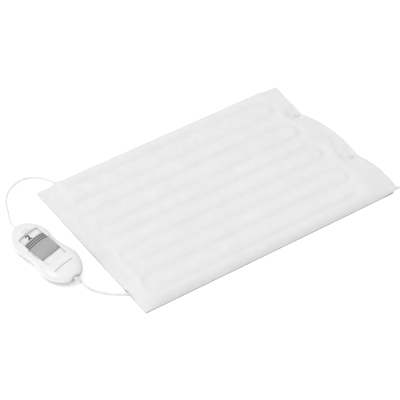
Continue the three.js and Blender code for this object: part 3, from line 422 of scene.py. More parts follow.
# The cords: routes repeated from the CAD source, x, y and height of the cord's middle in mm
cords = {
    "padDiameter": 3.2, "mainsDiameter": 4,
    "padRoute": [
        (-264.89, 89.43, 13.95), (-265.3, 94.6, 13.5), (-263.9, 104.5, 11.6), (-259.7, 118, 8.2),
        (-254.6, 132, 4.7), (-249.6, 147, 2.4), (-243.4, 161, 1.62), (-235.7, 172.4, 1.62),
        (-226.4, 180.8, 1.62), (-215.5, 186.6, 1.62), (-203.4, 188.7, 1.62), (-192.6, 186.2, 1.62),
        (-184.4, 180.4, 1.62), (-178.6, 173, 1.7), (-174.9, 165, 2.2), (-171.8, 157.4, 2.7),
        (-168.9, 151, 2.9), (-166.8, 147, 3), (-164.4, 143, 3.1), (-162.2, 139.6, 3.2),
        (-160.6, 136.8, 3.2), (-159.4, 133.6, 3.2), (-159.1, 130.3, 3.2),
    ],
    "mainsRoute": [
        (-245.66, -62.76, 13.95), (-245, -67.5, 13.3), (-243.2, -72.8, 11.6), (-240.3, -77, 9.4),
        (-236.4, -80.5, 7), (-231.6, -84, 4.8), (-226.3, -87.8, 3.1), (-219.8, -93, 2.15),
        (-211.2, -100.3, 2.02), (-203.7, -105.6, 2.02), (-195, -110.2, 2.02), (-186, -113.8, 2.02),
        (-178, -116.2, 2.02), (-171.5, -117.7, 2.02), (-161, -119.3, 2.02), (-148, -120.5, 2.02),
        (-100, -122, 2.02), (-40, -123.4, 2.02), (20, -124.6, 2.02), (80, -126, 2.02), (115, -127.7, 2.02),
        (140, -130.4, 2.02), (158, -133.5, 2.02), (171.5, -136.5, 2.02), (182, -139.1, 2.02),
        (193, -141.8, 2.02), (205, -144.6, 2.02), (222, -147.3, 2.1), (238, -148.35, 2.7),
        (247, -148.44, 3.28),
    ],
    "tailRoute": [
        (286.7, -166.9, 7.3), (290.2, -172.8, 6.2), (292.6, -180, 5.8), (293.8, -188, 6.4),
        (294, -192.5, 6.85), (294, -195.7, 6.85),
    ],
}
coil = {
    "middle": (256, -181.5), "inner": 14.946, "pitch": 4.45, "reversal": 4.0694, "climbFrom": 3.8194,
    "low": 3.3, "perTurn": 20,
}


def coilPoint(turns):
    radius = coil["inner"] + coil["pitch"] * abs(turns - coil["reversal"])
    angle = math.radians(90 - 360 * turns)
    climbed = min(max((turns - coil["climbFrom"]) * 2, 0), 1)
    return (coil["middle"][0] + radius * math.cos(angle), coil["middle"][1] + radius * math.sin(angle),
            coil["low"] + coil["pitch"] * climbed)


def cordCurve(name, route, diameter):
    curve = bpy.data.curves.new(name, "CURVE")
    curve.dimensions = "3D"
    curve.bevel_depth = diameter / 2 * mm
    curve.bevel_resolution = 5
    curve.use_fill_caps = True
    curve.resolution_u = 4
    line = curve.splines.new("BEZIER")
    line.bezier_points.add(len(route) - 1)
    for knot, place in zip(line.bezier_points, route):
        knot.co = [v * mm for v in place]
        knot.handle_left_type = knot.handle_right_type = "AUTO"
    return linked(name, curve)


coilSteps = round(2 * coil["reversal"] * coil["perTurn"])
coilRoute = [coilPoint(2 * coil["reversal"] * k / coilSteps) for k in range(coilSteps + 1)]
mainsWhole = cords["mainsRoute"] + coilRoute + cords["tailRoute"]
padCord = cordCurve("padCord", cords["padRoute"], cords["padDiameter"])
dress(padCord, "jacket", "pad", "cord_jacket", "pad_cord")
mainsLead = cordCurve("mainsLead", mainsWhole, cords["mainsDiameter"])
dress(mainsLead, "jacket", "pad", "cord_jacket", "mains_cord_run", "mains_cord_coil", "mains_cord_tail")


def routeLength(route):
    return sum((Vector(a) - Vector(b)).length for a, b in zip(route, route[1:])) * mm


print("cords laid: %.3f m and %.3f m" % (routeLength(cords["padRoute"]), routeLength(mainsWhole)))

# The cloth cover in mm: most values are the CAD source's, the open end's outline is the photo's
cover = {
    "halfLength": 201.5, "halfWidth": 150, "innerLeft": -190.5, "innerRight": 177.5, "innerHalfWidth": 149,
    "cornerRadius": 22, "edgeRun": 14, "skew": 5.5, "skewOver": 110, "skewRun": 50, "valleyTop": 11.1,
    "crown": 1, "puff": 2.2, "valleyHalfWidth": 5.5, "crease": 0.9, "creaseHalfWidth": 3, "hemTop": 1.9,
    "mouthTop": 6.4, "mouthRun": 28, "slopeRun": 38, "slopeEnd": 199, "sideRun": 22, "wave": 7.3,
    "setBack": 3, "cloth": 0.8, "sewnFrom": -120, "sewnShallow": 0.3, "shallowRun": 55, "lipFrom": 178.4,
    "lipHalfWidth": 127, "gape": 1.2, "gapeReach": 30, "gapeRun": 24, "snapFlat": 4.5, "snapReach": 15,
    "snapArea": 30, "roll": 0.9, "rollDrop": 0.35, "rollUp": 1.6, "rollIn": 7, "rollEdge": 0.8,
    "rollWaves": 16, "sideFull": 0.85, "fullFrom": 116, "fullRun": 20, "cornerFront": 12, "cornerBack": 4,
    "edgeSteps": [0.5, 1.3, 3.2],
}
edgeShares = [(-1, 0.55), (-0.85, 0.8), (-0.6, 0.93), (-0.38, 0.35), (-0.12, 0.72), (0.1, 0.6), (0.3, 0),
              (0.45, -0.9), (0.7, -0.75), (0.83, -0.35), (1, 0.4)]
wire = {"runs": [119.5, 84.5, 53.5, 19.5, -9.5, -41.5, -70.5, -100.5, -133.5],
        "middle": -6.5, "turnCentre": 156.25}
snapPlaces = [(186, 69), (192, -56)]


def share(t):  # from 0 to 1 with soft ends
    t = min(max(t, 0), 1)
    return t * t * (3 - 2 * t)


def ease(t):  # from 0 to 1, steep first
    return math.sin(min(max(t, 0), 1) * math.pi / 2)


def bell(away, halfWidth):
    return math.exp(-(away / halfWidth) ** 2)


def uneven(x, y, lengthX, lengthY, seed):  # smooth noise with waves of these lengths
    return noise.noise(Vector((x / lengthX, y / lengthY, seed)))


def skewed(x, y):  # the padding lies a little askew at its sewn end
    return cover["skew"] * y / cover["skewOver"] * share((cover["sewnFrom"] - x) / cover["skewRun"])


def insidePadding(x, y):  # how far inside the padding's outline a place lies
    radius, low, high = cover["cornerRadius"], cover["innerLeft"], cover["innerRight"]
    fromX = abs(x - skewed(x, y) - (low + high) / 2) - ((high - low) / 2 - radius)
    fromY = abs(y) - (cover["innerHalfWidth"] - radius)
    return radius - math.hypot(max(fromX, 0), max(fromY, 0)) - min(max(fromX, fromY), 0)


def fromWire(x, y):
    runs, along = wire["runs"], x - wire["middle"]
    past = abs(along) - wire["turnCentre"]
    if past <= 0:
        return min(abs(y - run) for run in runs)
    turns = zip(runs[0 if along > 0 else 1::2], runs[1 if along > 0 else 2::2])
    return min(abs(math.hypot(past, y - (a + b) / 2) - (a - b) / 2) for a, b in turns)


def fromSnap(x, y):
    return min(math.hypot(x - sx, y - sy) for sx, sy in snapPlaces)


def fromRoute(route, x, y):  # how far a place lies from a route, seen from above
    nearest = 1000
    for (ax, ay, *_), (bx, by, *_) in zip(route, route[1:]):
        dx, dy = bx - ax, by - ay
        along = min(max(((x - ax) * dx + (y - ay) * dy) / (dx * dx + dy * dy), 0), 1)
        nearest = min(nearest, math.hypot(x - ax - along * dx, y - ay - along * dy))
    return nearest


def openEdge(y):  # the wavy end of the upper cloth
    knots = [(a * cover["halfWidth"], cover["halfLength"] + b * cover["wave"]) for a, b in edgeShares]
    last = len(knots) - 1
    k = max(n for n in range(last) if knots[n][0] <= y + 0.001 or n == 0)
    before, a, b, after = knots[max(k - 1, 0)], knots[k], knots[k + 1], knots[min(k + 2, last)]
    t = min(max((y - a[0]) / (b[0] - a[0]), 0), 1)
    lean0, lean1 = (b[1] - before[1]) / 2, (after[1] - a[1]) / 2
    return ((2 * a[1] - 2 * b[1] + lean0 + lean1) * t ** 3
            + (3 * b[1] - 3 * a[1] - 2 * lean0 - lean1) * t ** 2 + lean0 * t + a[1])


def gape(x, y):
    past = share((x - cover["innerRight"]) / cover["gapeRun"])
    free = share((fromSnap(x, y) - 6) / cover["gapeReach"])
    return cover["gape"] * past * free * share((cover["lipHalfWidth"] - abs(y)) / cover["gapeReach"])


# The cloth is lifted where a cord runs under it: how high, how wide the top is, and how far the slopes run
overCord = {"mains": (4.6, 1.2, 10), "pad": (3.9, 1.2, 7), "paddingEnd": 165, "fade": 12}
mainsOutside = [[p for p in cords["mainsRoute"] if p[0] < -160],
                [p for p in cords["mainsRoute"] if p[0] > 155]]
seamRoute = cords["padRoute"][-10:]
underRoute = [p for p in cords["mainsRoute"] if -230 < p[0] < 230]


def arched(away, height, flat, run):
    return height * (1 - share((away - flat) / run))


def overCords(x, y):
    lift, past = 0, abs(x) - overCord["paddingEnd"]
    if y < -85 and past > 0:
        away = fromRoute(mainsOutside[0 if x < 0 else 1], x, y)
        lift = arched(away, *overCord["mains"]) * share(past / overCord["fade"])
    if y > 130 and x < -150:
        lift = max(lift, arched(fromRoute(seamRoute, x, y), *overCord["pad"]))
    return lift


def edgeLevel(x, y):
    towardsMouth = share((x - cover["innerRight"] + cover["mouthRun"]) / cover["mouthRun"])
    offSeams = share((cover["halfWidth"] - abs(y)) / cover["sideRun"])
    return cover["hemTop"] + (cover["mouthTop"] - cover["hemTop"]) * towardsMouth * offSeams + gape(x, y)


def quiltDepth(x):  # the quilted valleys are shallower towards the sewn end
    return 1 - cover["sewnShallow"] * share((cover["sewnFrom"] - x) / cover["shallowRun"])


def rolledEdge(x, y):  # the turned seam stands up a little and rolls down at its very edge
    inside = min(cover["halfWidth"] - abs(y), x + cover["halfLength"])
    height = cover["roll"] * (1 + 0.9 * uneven(x, y, cover["rollWaves"], cover["rollWaves"], 7.7))
    raised = arched(inside, height * ease(inside / cover["rollUp"]), cover["rollUp"], cover["rollIn"])
    return raised - arched(inside, cover["rollDrop"], 0, cover["rollEdge"])


def upperTop(x, y):
    level = edgeLevel(x, y) + rolledEdge(x, y)
    inside = insidePadding(min(x, 140), y) / cover["edgeRun"]
    bulge = math.sqrt(1 - (1 - min(max(inside, 0), 1)) ** 2)  # the long sides are fuller than the sewn end
    onSide = cover["sideFull"] * share((abs(y) - cover["fullFrom"]) / cover["fullRun"])
    rise = ease(inside) + (bulge - ease(inside)) * onSide
    rise *= ease((cover["slopeEnd"] - x) / cover["slopeRun"])
    crown = (1 - (x / cover["halfLength"]) ** 2) * (1 - (y / cover["halfWidth"]) ** 2)
    away, depth = fromWire(x, y), quiltDepth(x)
    puff = 1 - depth * bell(away, cover["valleyHalfWidth"])
    crease = depth * bell(away, cover["creaseHalfWidth"])
    full = cover["valleyTop"] + cover["crown"] * crown + cover["puff"] * puff - cover["crease"] * crease
    height = level + (full - level) * rise
    if x > 160 and fromSnap(x, y) < cover["snapArea"]:  # the press studs draw the cloth down
        free = share((fromSnap(x, y) - cover["snapFlat"]) / cover["snapReach"])
        height = cover["mouthTop"] + (height - cover["mouthTop"]) * free
    lift = overCords(x, y)
    return max(height, cover["hemTop"] + lift) if lift else height


# The upper cloth: a grid laid over those heights, swollen by a cloth simulation between its seams
upperCloth = {
    "columns": 95, "lipColumns": 6, "sideRows": 6, "middleRows": 64, "frames": 20, "capUp": 1.0,
    "capDown": 0.15,
}
clothSettings = {
    "quality": 6, "mass": 0.15, "air_damping": 1.5, "tension_stiffness": 12, "compression_stiffness": 12,
    "shear_stiffness": 4, "bending_stiffness": 0.8, "vertex_group_mass": "held", "pin_stiffness": 1,
    "shrink_min": -0.01, "use_pressure": True, "uniform_pressure_force": 0.4,
}


def spread(low, high, steps):
    return [low + (high - low) * k / steps for k in range(steps + 1)]


def fromEdge(places):  # a row of places that starts at an edge gets closer steps there
    first, steps = places[0], cover["edgeSteps"]
    sign = 1 if places[-1] > first else -1
    rest = [p for p in places[1:] if abs(p - first) > steps[-1] + 1.5]
    return [first] + [first + sign * near for near in steps] + rest


def clothPlan(setBack=0):  # rows of places, closer to one another at the edges, with the corners rounded
    side, lip = cover["halfWidth"], cover["lipHalfWidth"]
    front = fromEdge(spread(-side, -lip, upperCloth["sideRows"]))[:-1]
    places = fromEdge(spread(-cover["halfLength"], cover["lipFrom"], upperCloth["columns"]))
    plan = []
    for y in front + spread(-lip, lip, upperCloth["middleRows"]) + [-y for y in reversed(front)]:
        radius = cover["cornerFront"] if y < 0 else cover["cornerBack"]
        past = max(radius - side + abs(y), 0)
        edge = openEdge(y) - setBack - radius + math.sqrt(radius ** 2 - past ** 2)
        plan.append([(x, y) for x in places + spread(cover["lipFrom"], edge, upperCloth["lipColumns"])[1:]])
    return plan


def heldShare(x, y):  # how firmly the cloth is held down: at stitched lines and seams
    onLine = arched(fromWire(x, y), 1, 1.5, 3.5) if insidePadding(x, y) > 6 else 0
    return max(onLine, arched(insidePadding(x, y), 1, 1, 6), 0.04)


def swollen(piece):
    rest = [v.co.copy() for v in piece.data.vertices]
    held = piece.vertex_groups.new(name="held")
    for k, place in enumerate(rest):
        held.add([k], heldShare(place.x / mm, place.y / mm), "REPLACE")
    cloth = piece.modifiers.new("Cloth", "CLOTH")
    for name, value in clothSettings.items():
        setattr(cloth.settings, name, value)
    cloth.settings.effector_weights.gravity = 0
    cloth.collision_settings.use_collision = False
    cloth.point_cache.frame_start, cloth.point_cache.frame_end = 1, upperCloth["frames"]
    scene = bpy.context.scene
    for step in range(1, upperCloth["frames"] + 1):
        scene.frame_set(step)
    shown = piece.evaluated_get(bpy.context.evaluated_depsgraph_get())
    moved = [v.co.copy() for v in shown.data.vertices]
    piece.modifiers.clear()
    piece.vertex_groups.clear()
    most, capUp, capDown = 0, upperCloth["capUp"] * mm, upperCloth["capDown"] * mm
    for vertex, start, end in zip(piece.data.vertices, rest, moved):
        move = end - start
        most = max(most, move.length)
        if move.length > capUp:
            move *= capUp / move.length
        move.z = max(move.z, -capDown)
        vertex.co = start + move
    scene.frame_set(1)
    print("upper cloth swollen: %.2f mm at most before the cap" % (most / mm))


def through(*knots, steps=5):  # a smooth curve through some places
    curve = []
    for k in range(len(knots) - 1):
        before, a, b, after = (Vector(knots[min(max(n, 0), len(knots) - 1)]) for n in range(k - 1, k + 3))
        for t in spread(0, 1, steps)[:-1]:
            curve.append(tuple(a + (b - before) * t / 2 + (2 * before - 5 * a + 4 * b - after) * t * t / 2
                               + (3 * a - before - 3 * b + after) * t ** 3 / 2))
    return curve + [knots[-1]]


# Folds by the press studs, each with its route, height and half width, and finer ones, all in mm
folds = {
    "creaseFront": (through((195, -8), (187, -26), (181.6, -41), (178.4, -57)), -0.65, 4.4),
    "creaseCorner": (through((178.4, -60), (182.5, -77), (188, -96)), -0.45, 5),
    "ridgeFront": (through((190, 0), (181, -21.6), (176, -36.7), (173, -54)), 0.6, 5),
    "ridgeBack": (through((198, 140), (194.5, 122), (191.5, 103), (190, 84)), 1.5, 8),
    "creaseBack": (through((172, 86), (179, 77), (180, 64), (175, 52)), -0.5, 4),
}
fine = {
    "rays": 7, "rayHeight": 0.4, "rayFrom": 4.5, "rayRun": 4, "rayTo": 10, "rayFade": 16,
    "droop": 0.9, "droopRun": 9, "droopFrom": -38, "lipWaves": 0.45, "sewnRidge": 0.9, "waves": 0.22,
}


def fineFolds(x, y):  # what the simulation is too coarse for
    height = 0
    if x > 140:
        for route, rise, halfWidth in folds.values():
            height += rise * bell(fromRoute(route, x, y), halfWidth)
        for k, (sx, sy) in enumerate(snapPlaces):  # rays about each press stud
            away, angle = math.hypot(x - sx, y - sy), math.atan2(y - sy, x - sx)
            ring = share((away - fine["rayFrom"]) / fine["rayRun"])
            ring *= arched(away, 1, fine["rayTo"], fine["rayFade"])
            rays = math.cos(fine["rays"] * angle + 1.3 * k + 0.9 * math.sin(2 * angle))
            height += fine["rayHeight"] * ring * rays
        droop = share((x - openEdge(y) + fine["droopRun"]) / fine["droopRun"])
        height -= fine["droop"] * droop * share((fine["droopFrom"] - y) / 30)
        height += fine["lipWaves"] * share((x - 160) / 20) * uneven(x, y, 30, 14, 3.1)
    if x < -170:  # a low ridge along the sewn end
        onRidge = share((x + cover["halfLength"]) / 9) * (1 - share((x + 192) / 8))
        height += fine["sewnRidge"] * onRidge * bell(y + 8, 34)
    height += fine["waves"] * uneven(x, y, 45, 20, 0.4) * share(insidePadding(x, y) / 20)
    return height * (1 if x < 160 else share((fromSnap(x, y) - 3) / 4))


# Painted shade, its most and its half width: on the quilted lines, the front seam, the other seams and the
# lip's front part
paintedShadeBands = {"line": (0.15, 4), "front": (0.34, 2.3), "others": (0.1, 1.8), "lip": (0.26, 6), "waves": 13}


# painted shade at a place on the cloth: quilted lines, seams and the lip's front part
def paintedShadeAt(x, y):
    def paintedShade(kind, away):
        most, halfWidth = paintedShadeBands[kind]
        return most * bell(away, halfWidth)

    line = paintedShade("line", fromWire(x, y)) * quiltDepth(x) if insidePadding(x, y) > 4 else 0
    front = paintedShade("front", max(y + cover["halfWidth"] - 0.3, 0))
    others = paintedShade("others", min(cover["halfWidth"] - y, x + cover["halfLength"], 40))
    lip = paintedShade("lip", openEdge(y) - x) * share((-56 - y) / 12) if x > 185 else 0
    waves = 1 + 0.5 * uneven(x, y, paintedShadeBands["waves"], paintedShadeBands["waves"], 2.2)
    return max(line, max(front, others, lip) * waves)


def makeUpperCloth():
    piece = gridPiece("coverUpper", clothPlan(), upperTop)
    swollen(piece)
    applied(piece, "SUBSURF", levels=1, render_levels=1)
    for vertex in piece.data.vertices:
        vertex.co.z += fineFolds(vertex.co.x / mm, vertex.co.y / mm) * mm
    # the corners beside the lip, sewn to the pad on one side and meeting the lip on the other, are split off
    # as pieces of their own
    pieces = [piece]
    for name, side in (("coverCornerFront", -1), ("coverCornerBack", 1)):
        pick(piece, "FACE", lambda c, n: c.x > cover["lipFrom"] and c.y * side > cover["lipHalfWidth"])
        bpy.ops.mesh.separate(type="SELECTED")
        putDown()
        corner = bpy.data.objects["coverUpper.001"]
        corner.name = corner.data.name = name
        pieces.append(corner)
    for one in pieces:
        # painted shade, per point, for the cloth's colour
        paintedShade = one.data.attributes.new("paintedShade", "FLOAT", "POINT")
        for vertex in one.data.vertices:
            paintedShade.data[vertex.index].value = paintedShadeAt(vertex.co.x / mm, vertex.co.y / mm)
        applied(one, "SOLIDIFY", thickness=cover["cloth"] * 0.95 * mm, offset=-1, use_even_offset=False)
        smoothed(one, 70)
    return pieces


coverUpper, cornerFront, cornerBack = makeUpperCloth()
dress(coverUpper, "cloth", None, "cloth", "cover_top", "cover_flap")
for corner in (cornerFront, cornerBack):
    dress(corner, "cloth", None, "cloth")
print("upper cloth made")

# The lower cloth lies on the table; it is lifted over the mains lead and over the snaps' posts
lowerCloth = {"overLead": (4.52, 1.5, 6), "overPost": (1.3, 5.6, 3)}


def lowerTop(x, y):
    away = fromRoute(underRoute, x, y) if y < -90 else 1000
    overLead = arched(away, *lowerCloth["overLead"])
    return cover["cloth"] + max(overLead, arched(fromSnap(x, y), *lowerCloth["overPost"]))


def makeLowerCloth():
    piece = gridPiece("coverLower", clothPlan(cover["setBack"]), lowerTop)
    applied(piece, "SUBSURF", levels=1, render_levels=1)
    for vertex in piece.data.vertices:
        vertex.co.z = (lowerTop(vertex.co.x / mm, vertex.co.y / mm) - 0.02) * mm
    applied(piece, "SOLIDIFY", thickness=(cover["cloth"] - 0.04) * mm, offset=-1)
    return smoothed(piece, 70)


# its darker cotton is painted shade
coverLower = dress(makeLowerCloth(), "clothUnderShaded", "pad", "cloth", "cover_bottom")
print("lower cloth made")

# The two layers of wadding inside, quilted along the wire
wadding = {
    "lowerTop": 6.35, "lowerInset": 7, "upperInset": 7.5, "upperLow": 8.85, "rimLow": 6.75, "columns": 84,
    "rows": 62, "underCover": 1.5, "rimThick": 0.25, "leastThick": 0.2, "overCloth": 0.3,
}


def waddingPlace(t, y, inset):  # a place across the padding, from -1 to 1 along it
    radius = cover["cornerRadius"] - inset
    past = abs(y) - (cover["innerHalfWidth"] - inset - radius)
    short = radius - math.sqrt(max(radius ** 2 - max(past, 0) ** 2, 0))
    low, high = cover["innerLeft"] + inset + short, cover["innerRight"] - inset - short
    x = low + (high - low) * (t + 1) / 2
    return x + skewed(x, y), y


def waddingLayer(name, inset, top, bottom):
    half = cover["innerHalfWidth"] - inset
    steps = spread(-1, 1, wadding["rows"])
    rows = [half * math.sin(math.pi / 2 * t) if abs(t) > 0.97 else half * t for t in steps]
    plan = [[waddingPlace(t, y, inset) for t in spread(-1, 1, wadding["columns"])] for y in rows]
    sheet = gridPiece(name, plan, top)
    under = edited(gridPiece(name + "Under", plan, bottom), "flip_normals")
    under.select_set(True)
    sheet.select_set(True)
    bpy.context.view_layer.objects.active = sheet
    bpy.ops.object.join()
    takeUp(sheet, "EDIT")
    bpy.ops.mesh.select_all(action="DESELECT")
    bpy.ops.mesh.select_mode(type="EDGE")
    bpy.ops.mesh.select_non_manifold(extend=False)
    bpy.ops.mesh.bridge_edge_loops()
    return edited(sheet, "normals_make_consistent", inside=False)


def lowerUnder(x, y):
    return lowerTop(x, y) + wadding["overCloth"]


def upperOver(x, y):
    return max(upperTop(x, y) - wadding["underCover"], wadding["rimLow"] + wadding["rimThick"])


def upperUnder(x, y):
    room = share((insidePadding(x, y) - wadding["upperInset"]) / 5)
    low = wadding["rimLow"] + (wadding["upperLow"] - wadding["rimLow"]) * room
    return min(low, upperOver(x, y) - wadding["leastThick"])


waddingLower = waddingLayer("waddingLower", wadding["lowerInset"],
                            lambda x, y: wadding["lowerTop"], lowerUnder)
for room in (((-165.3, 115.2, 0), (-152.7, 129.8, 12)),  # for the terminal, the cord and the wire
             ((-167.5, 129.5, 0), (-155.5, 150, 12)), ((-159, 118, 2.7), (-138.7, 121, 12))):
    carved(waddingLower, block("room", *room))
waddingUpper = waddingLayer("waddingUpper", wadding["upperInset"], upperOver, upperUnder)
for layer, node in ((waddingLower, "inner_pad_lower"), (waddingUpper, "inner_pad_upper")):
    dress(smoothed(layer, 50), "felt", "pad", "felt", node)
print("wadding made")

# Stitches: small thread loops on the seams and the hem
stitch = {
    "length": 2.5, "width": 0.55, "height": 0.32, "pitch": 3.6, "sewnEnd": -187.5, "sewnHalf": 146,
    "side": 147.6, "sideFrom": -198, "sideTo": 176, "hemIn": 10.5, "hemHalf": 124,
}


def stitchPiece(name, places):  # places: (x, y, direction in degrees)
    putDown()
    bpy.ops.mesh.primitive_uv_sphere_add(segments=6, ring_count=4, radius=0.5)
    model = newest("stitchModel")
    size = Vector((stitch["length"], stitch["width"], stitch["height"])) * mm
    ball = [v.co * size for v in model.data.vertices]
    sides = [tuple(p.vertices) for p in model.data.polygons]
    bpy.data.objects.remove(model)
    points, faces = [], []
    for x, y, heading in places:
        turn = Matrix.Rotation(math.radians(heading), 3, "Z")
        first = len(points)
        points += [turn @ p + Vector((x, y, clothHeight(x, y))) * mm for p in ball]
        faces += [tuple(first + k for k in side) for side in sides]
    return smoothed(meshPiece(name, points, [], faces), 80)


def clothHeight(x, y):  # the made cloth's own top, found by a ray from above
    for piece in (coverUpper, cornerFront, cornerBack):
        hit, place, _, _ = piece.ray_cast(Vector((x * mm, y * mm, 0.05)), Vector((0, 0, -1)))
        if hit:
            return place.z / mm
    return cover["hemTop"]


def alongLine(low, high):
    return spread(low, high, int((high - low) / stitch["pitch"]))


def hemLean(y):  # the hem's direction, square to the open edge's slope
    return math.degrees(math.atan2(1, (openEdge(y + 1) - openEdge(y - 1)) / 2))


seamPlaces = [(stitch["sewnEnd"], y, 90) for y in alongLine(-stitch["sewnHalf"], stitch["sewnHalf"])]
for y in (-stitch["side"], stitch["side"]):
    seamPlaces += [(x, y, 0) for x in alongLine(stitch["sideFrom"], stitch["sideTo"])]
hemPlaces = [(openEdge(y) - stitch["hemIn"], y, hemLean(y))
             for y in alongLine(-stitch["hemHalf"], stitch["hemHalf"])
             if fromSnap(openEdge(y) - stitch["hemIn"], y) > 6]
dress(stitchPiece("seamStitches", seamPlaces), "thread", "pad", "cloth")
dress(stitchPiece("hemStitches", hemPlaces), "thread", "lip", "cloth")
print("stitches made:", len(seamPlaces) + len(hemPlaces))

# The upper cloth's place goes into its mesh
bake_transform(coverUpper)
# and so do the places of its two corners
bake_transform(cornerFront)
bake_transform(cornerBack)

# Press studs: turned from the same heights as the CAD, with rolled rims and a dimple
snapShape = {
    "cap": [(0, 6.85), (1.2, 6.87), (1.9, 7.1), (2.5, 7.7), (3.1, 8.08), (3.6, 8.05), (4.1, 7.6), (4.45, 7.0),
            (4.5, 6.65), (4.35, 6.5), (4.0, 6.5), (1, 6.5), (1, 5.6), (0, 5.6)],
    "socket": [(0, 4.9), (2.2, 4.9), (2.2, 3.65), (2.35, 3.5), (3.6, 3.5), (3.9, 3.65), (4, 3.9), (4, 5.1),
               (3.8, 5.3), (0, 5.3)],
    "stud": [(0, 2.4), (3.3, 2.4), (3.5, 2.55), (3.5, 3.0), (3.3, 3.2), (1.6, 3.2), (1.25, 3.35), (1.2, 3.6),
             (1.55, 3.85), (1.6, 4.15), (1.4, 4.45), (1.0, 4.58), (0, 4.6)],
    "post": [(0, 0.02), (3.7, 0.02), (4, 0.2), (4, 0.55), (3.7, 0.85), (3.3, 1), (1, 1), (1, 2.1), (0, 2.1)],
}
snapDress = {"cap": ("capPearl", "lip", "grey_plastic"), "socket": ("steel", "lip", "steel"),
             "stud": ("steel", "pad", "steel"), "post": ("steel", "pad", "steel")}
for number, snapPlace in enumerate(snapPlaces, 1):
    for kind, profile in snapShape.items():
        piece = atOrigin(spunPiece(f"snap{number}{kind.title()}", profile), shifted(*snapPlace))
        dress(smoothed(piece, 50), *snapDress[kind], f"snap_{number}_{kind}")
print("press studs made")

# The hand control, made about its own middle with its length along Y, then put in its place
control = {
    "place": (-255.9, 18.3, 14), "heading": 7.2, "tilt": 11, "length": 139, "endShare": 0.97,
    "upperBulge": 61.5, "lowerBulge": 62.5, "waist": 47, "waistShare": 0.65, "upperRound": 2,
    "lowerRound": 2.36, "topHeight": 13.75, "bottomHeight": 12.8, "wall": 2, "endWall": 5.6,
    "segments": 112, "rings": 72, "section": 2.5, "fall": (3.2, 2.2), "parting": 0.15, "inLimit": 0.5,
}
controlPose = shifted(*control["place"]) @ turned(control["heading"], "Z") @ turned(-control["tilt"], "Y")


def shellSection(y):  # half the width, and the share of the height left, at a place along the control
    u = abs(y) / (control["length"] / 2)
    bend = control["upperRound"] if y > 0 else control["lowerRound"]
    bulge = control["upperBulge"] if y > 0 else control["lowerBulge"]
    end = max(1 - u ** bend, 0) ** (1 / bend)
    mix = (1 + math.cos(math.pi * min(u / control["waistShare"], 1))) / 2
    first, second = control["fall"]
    return (bulge * (1 - mix) + control["waist"] * mix) / 2 * end, max(1 - u ** first, 0) ** (1 / second)


def shellTop(x, y):  # height of the upper shell's face
    (half, fall), power = shellSection(y), control["section"]
    return control["topHeight"] * fall * max(1 - (abs(x) / half) ** power, 0) ** (1 / power)


def shellBody(name, inset=0, endInset=0):
    putDown()
    bpy.ops.mesh.primitive_uv_sphere_add(segments=control["segments"], ring_count=control["rings"], radius=1)
    piece = newest(name)
    reach = control["endShare"] * control["length"] / 2 - endInset
    bend = 2 / control["section"]
    for vertex in piece.data.vertices:
        around, high, y = vertex.co.x, vertex.co.y, vertex.co.z * reach
        size = math.hypot(around, high)
        half, fall = shellSection(y)
        x = z = 0
        if size > 1e-6:
            tall = (control["topHeight"] if high > 0 else control["bottomHeight"]) * fall - inset
            x = (half - inset) * math.copysign(abs(around / size) ** bend, around)
            z = tall * math.copysign(abs(high / size) ** bend, high)
        vertex.co = Vector((x, y, z)) * mm
    return edited(piece, "normals_make_consistent", inside=False)


def halved(piece, height, keepUpper):
    return edited(piece, "bisect", plane_co=(0, 0, height * mm), plane_no=(0, 0, 1), use_fill=True,
                  clear_inner=keepUpper, clear_outer=not keepUpper)


def post(name, radius, low, high, place=(0, 0)):
    putDown()
    bpy.ops.mesh.primitive_cylinder_add(vertices=32, radius=radius * mm, depth=(high - low) * mm,
                                        location=(place[0] * mm, place[1] * mm, (low + high) / 2 * mm))
    return atOrigin(newest(name))


def addPillar(shell, place, pillar, *bores):  # a pillar inside a shell, then its bores
    inner = carved(post("pillar", *pillar, place), shellBody("limit", control["inLimit"]), "INTERSECT")
    carved(shell, inner, "UNION")
    for bore in bores:
        carved(shell, post("bore", *bore, place))


recess = {
    "middle": 2, "width": 31, "length": 71.03, "radius": 3.5, "floor": 9, "floorThick": 1.8, "wall": 2,
    "slotWidth": 9, "slotLength": 34.8, "grooveLow": 9.2, "grooveHigh": 11, "grooveDeep": 1.7,
}
# Pillars and bores, each with its radius, low and high
screws = {
    "places": [(-14.5, -46), (14.5, -46), (-14.5, 46), (14.5, 46)], "upperPillar": (3.2, 0.15, 16),
    "pilot": (1.5, -1, 6.3), "lowerPillar": (4.4, -16, -0.15), "shank": (1.5, -20, 4),
    "head": (2.9, -20, -5.7), "boardPlaces": [(-14, -33), (-14, 33), (14, -33), (14, 33)],
    "boardPillar": (2.4, -16, -0.1), "endBore": (3.2, 40, 90),
}


def makeUpperShell():
    at, width, length, radius = (0, recess["middle"]), recess["width"], recess["length"], recess["radius"]
    floor, wall = recess["floor"], recess["wall"]
    shell = halved(shellBody("housingUpper"), control["parting"], True)
    carved(shell, shellBody("hollow", control["wall"], control["endWall"]))
    well = roundedBlock("well", width + 2 * wall, length + 2 * wall, radius + wall,
                        floor - recess["floorThick"], 20, at)
    carved(shell, carved(well, shellBody("limit", 0.01), "INTERSECT"), "UNION")
    for place in screws["places"]:
        addPillar(shell, place, screws["upperPillar"], screws["pilot"])
    carved(shell, roundedBlock("recess", width, length, radius, floor, 20, at))
    carved(shell, roundedBlock("guide", width + 2 * recess["grooveDeep"], length - 2, radius,
                               recess["grooveLow"], recess["grooveHigh"], at))
    half, reach = recess["slotWidth"] / 2, recess["slotLength"] / 2
    carved(shell, block("slot", (-half, at[1] - reach, -5), (half, at[1] + reach, 15)))
    return shell


def makeLowerShell():
    shell = halved(shellBody("housingLower"), -control["parting"], False)
    carved(shell, shellBody("hollow", control["wall"], control["endWall"]))
    for place in screws["places"]:
        addPillar(shell, place, screws["lowerPillar"], screws["shank"], screws["head"])
    for place in screws["boardPlaces"]:
        addPillar(shell, place, screws["boardPillar"])
    return shell
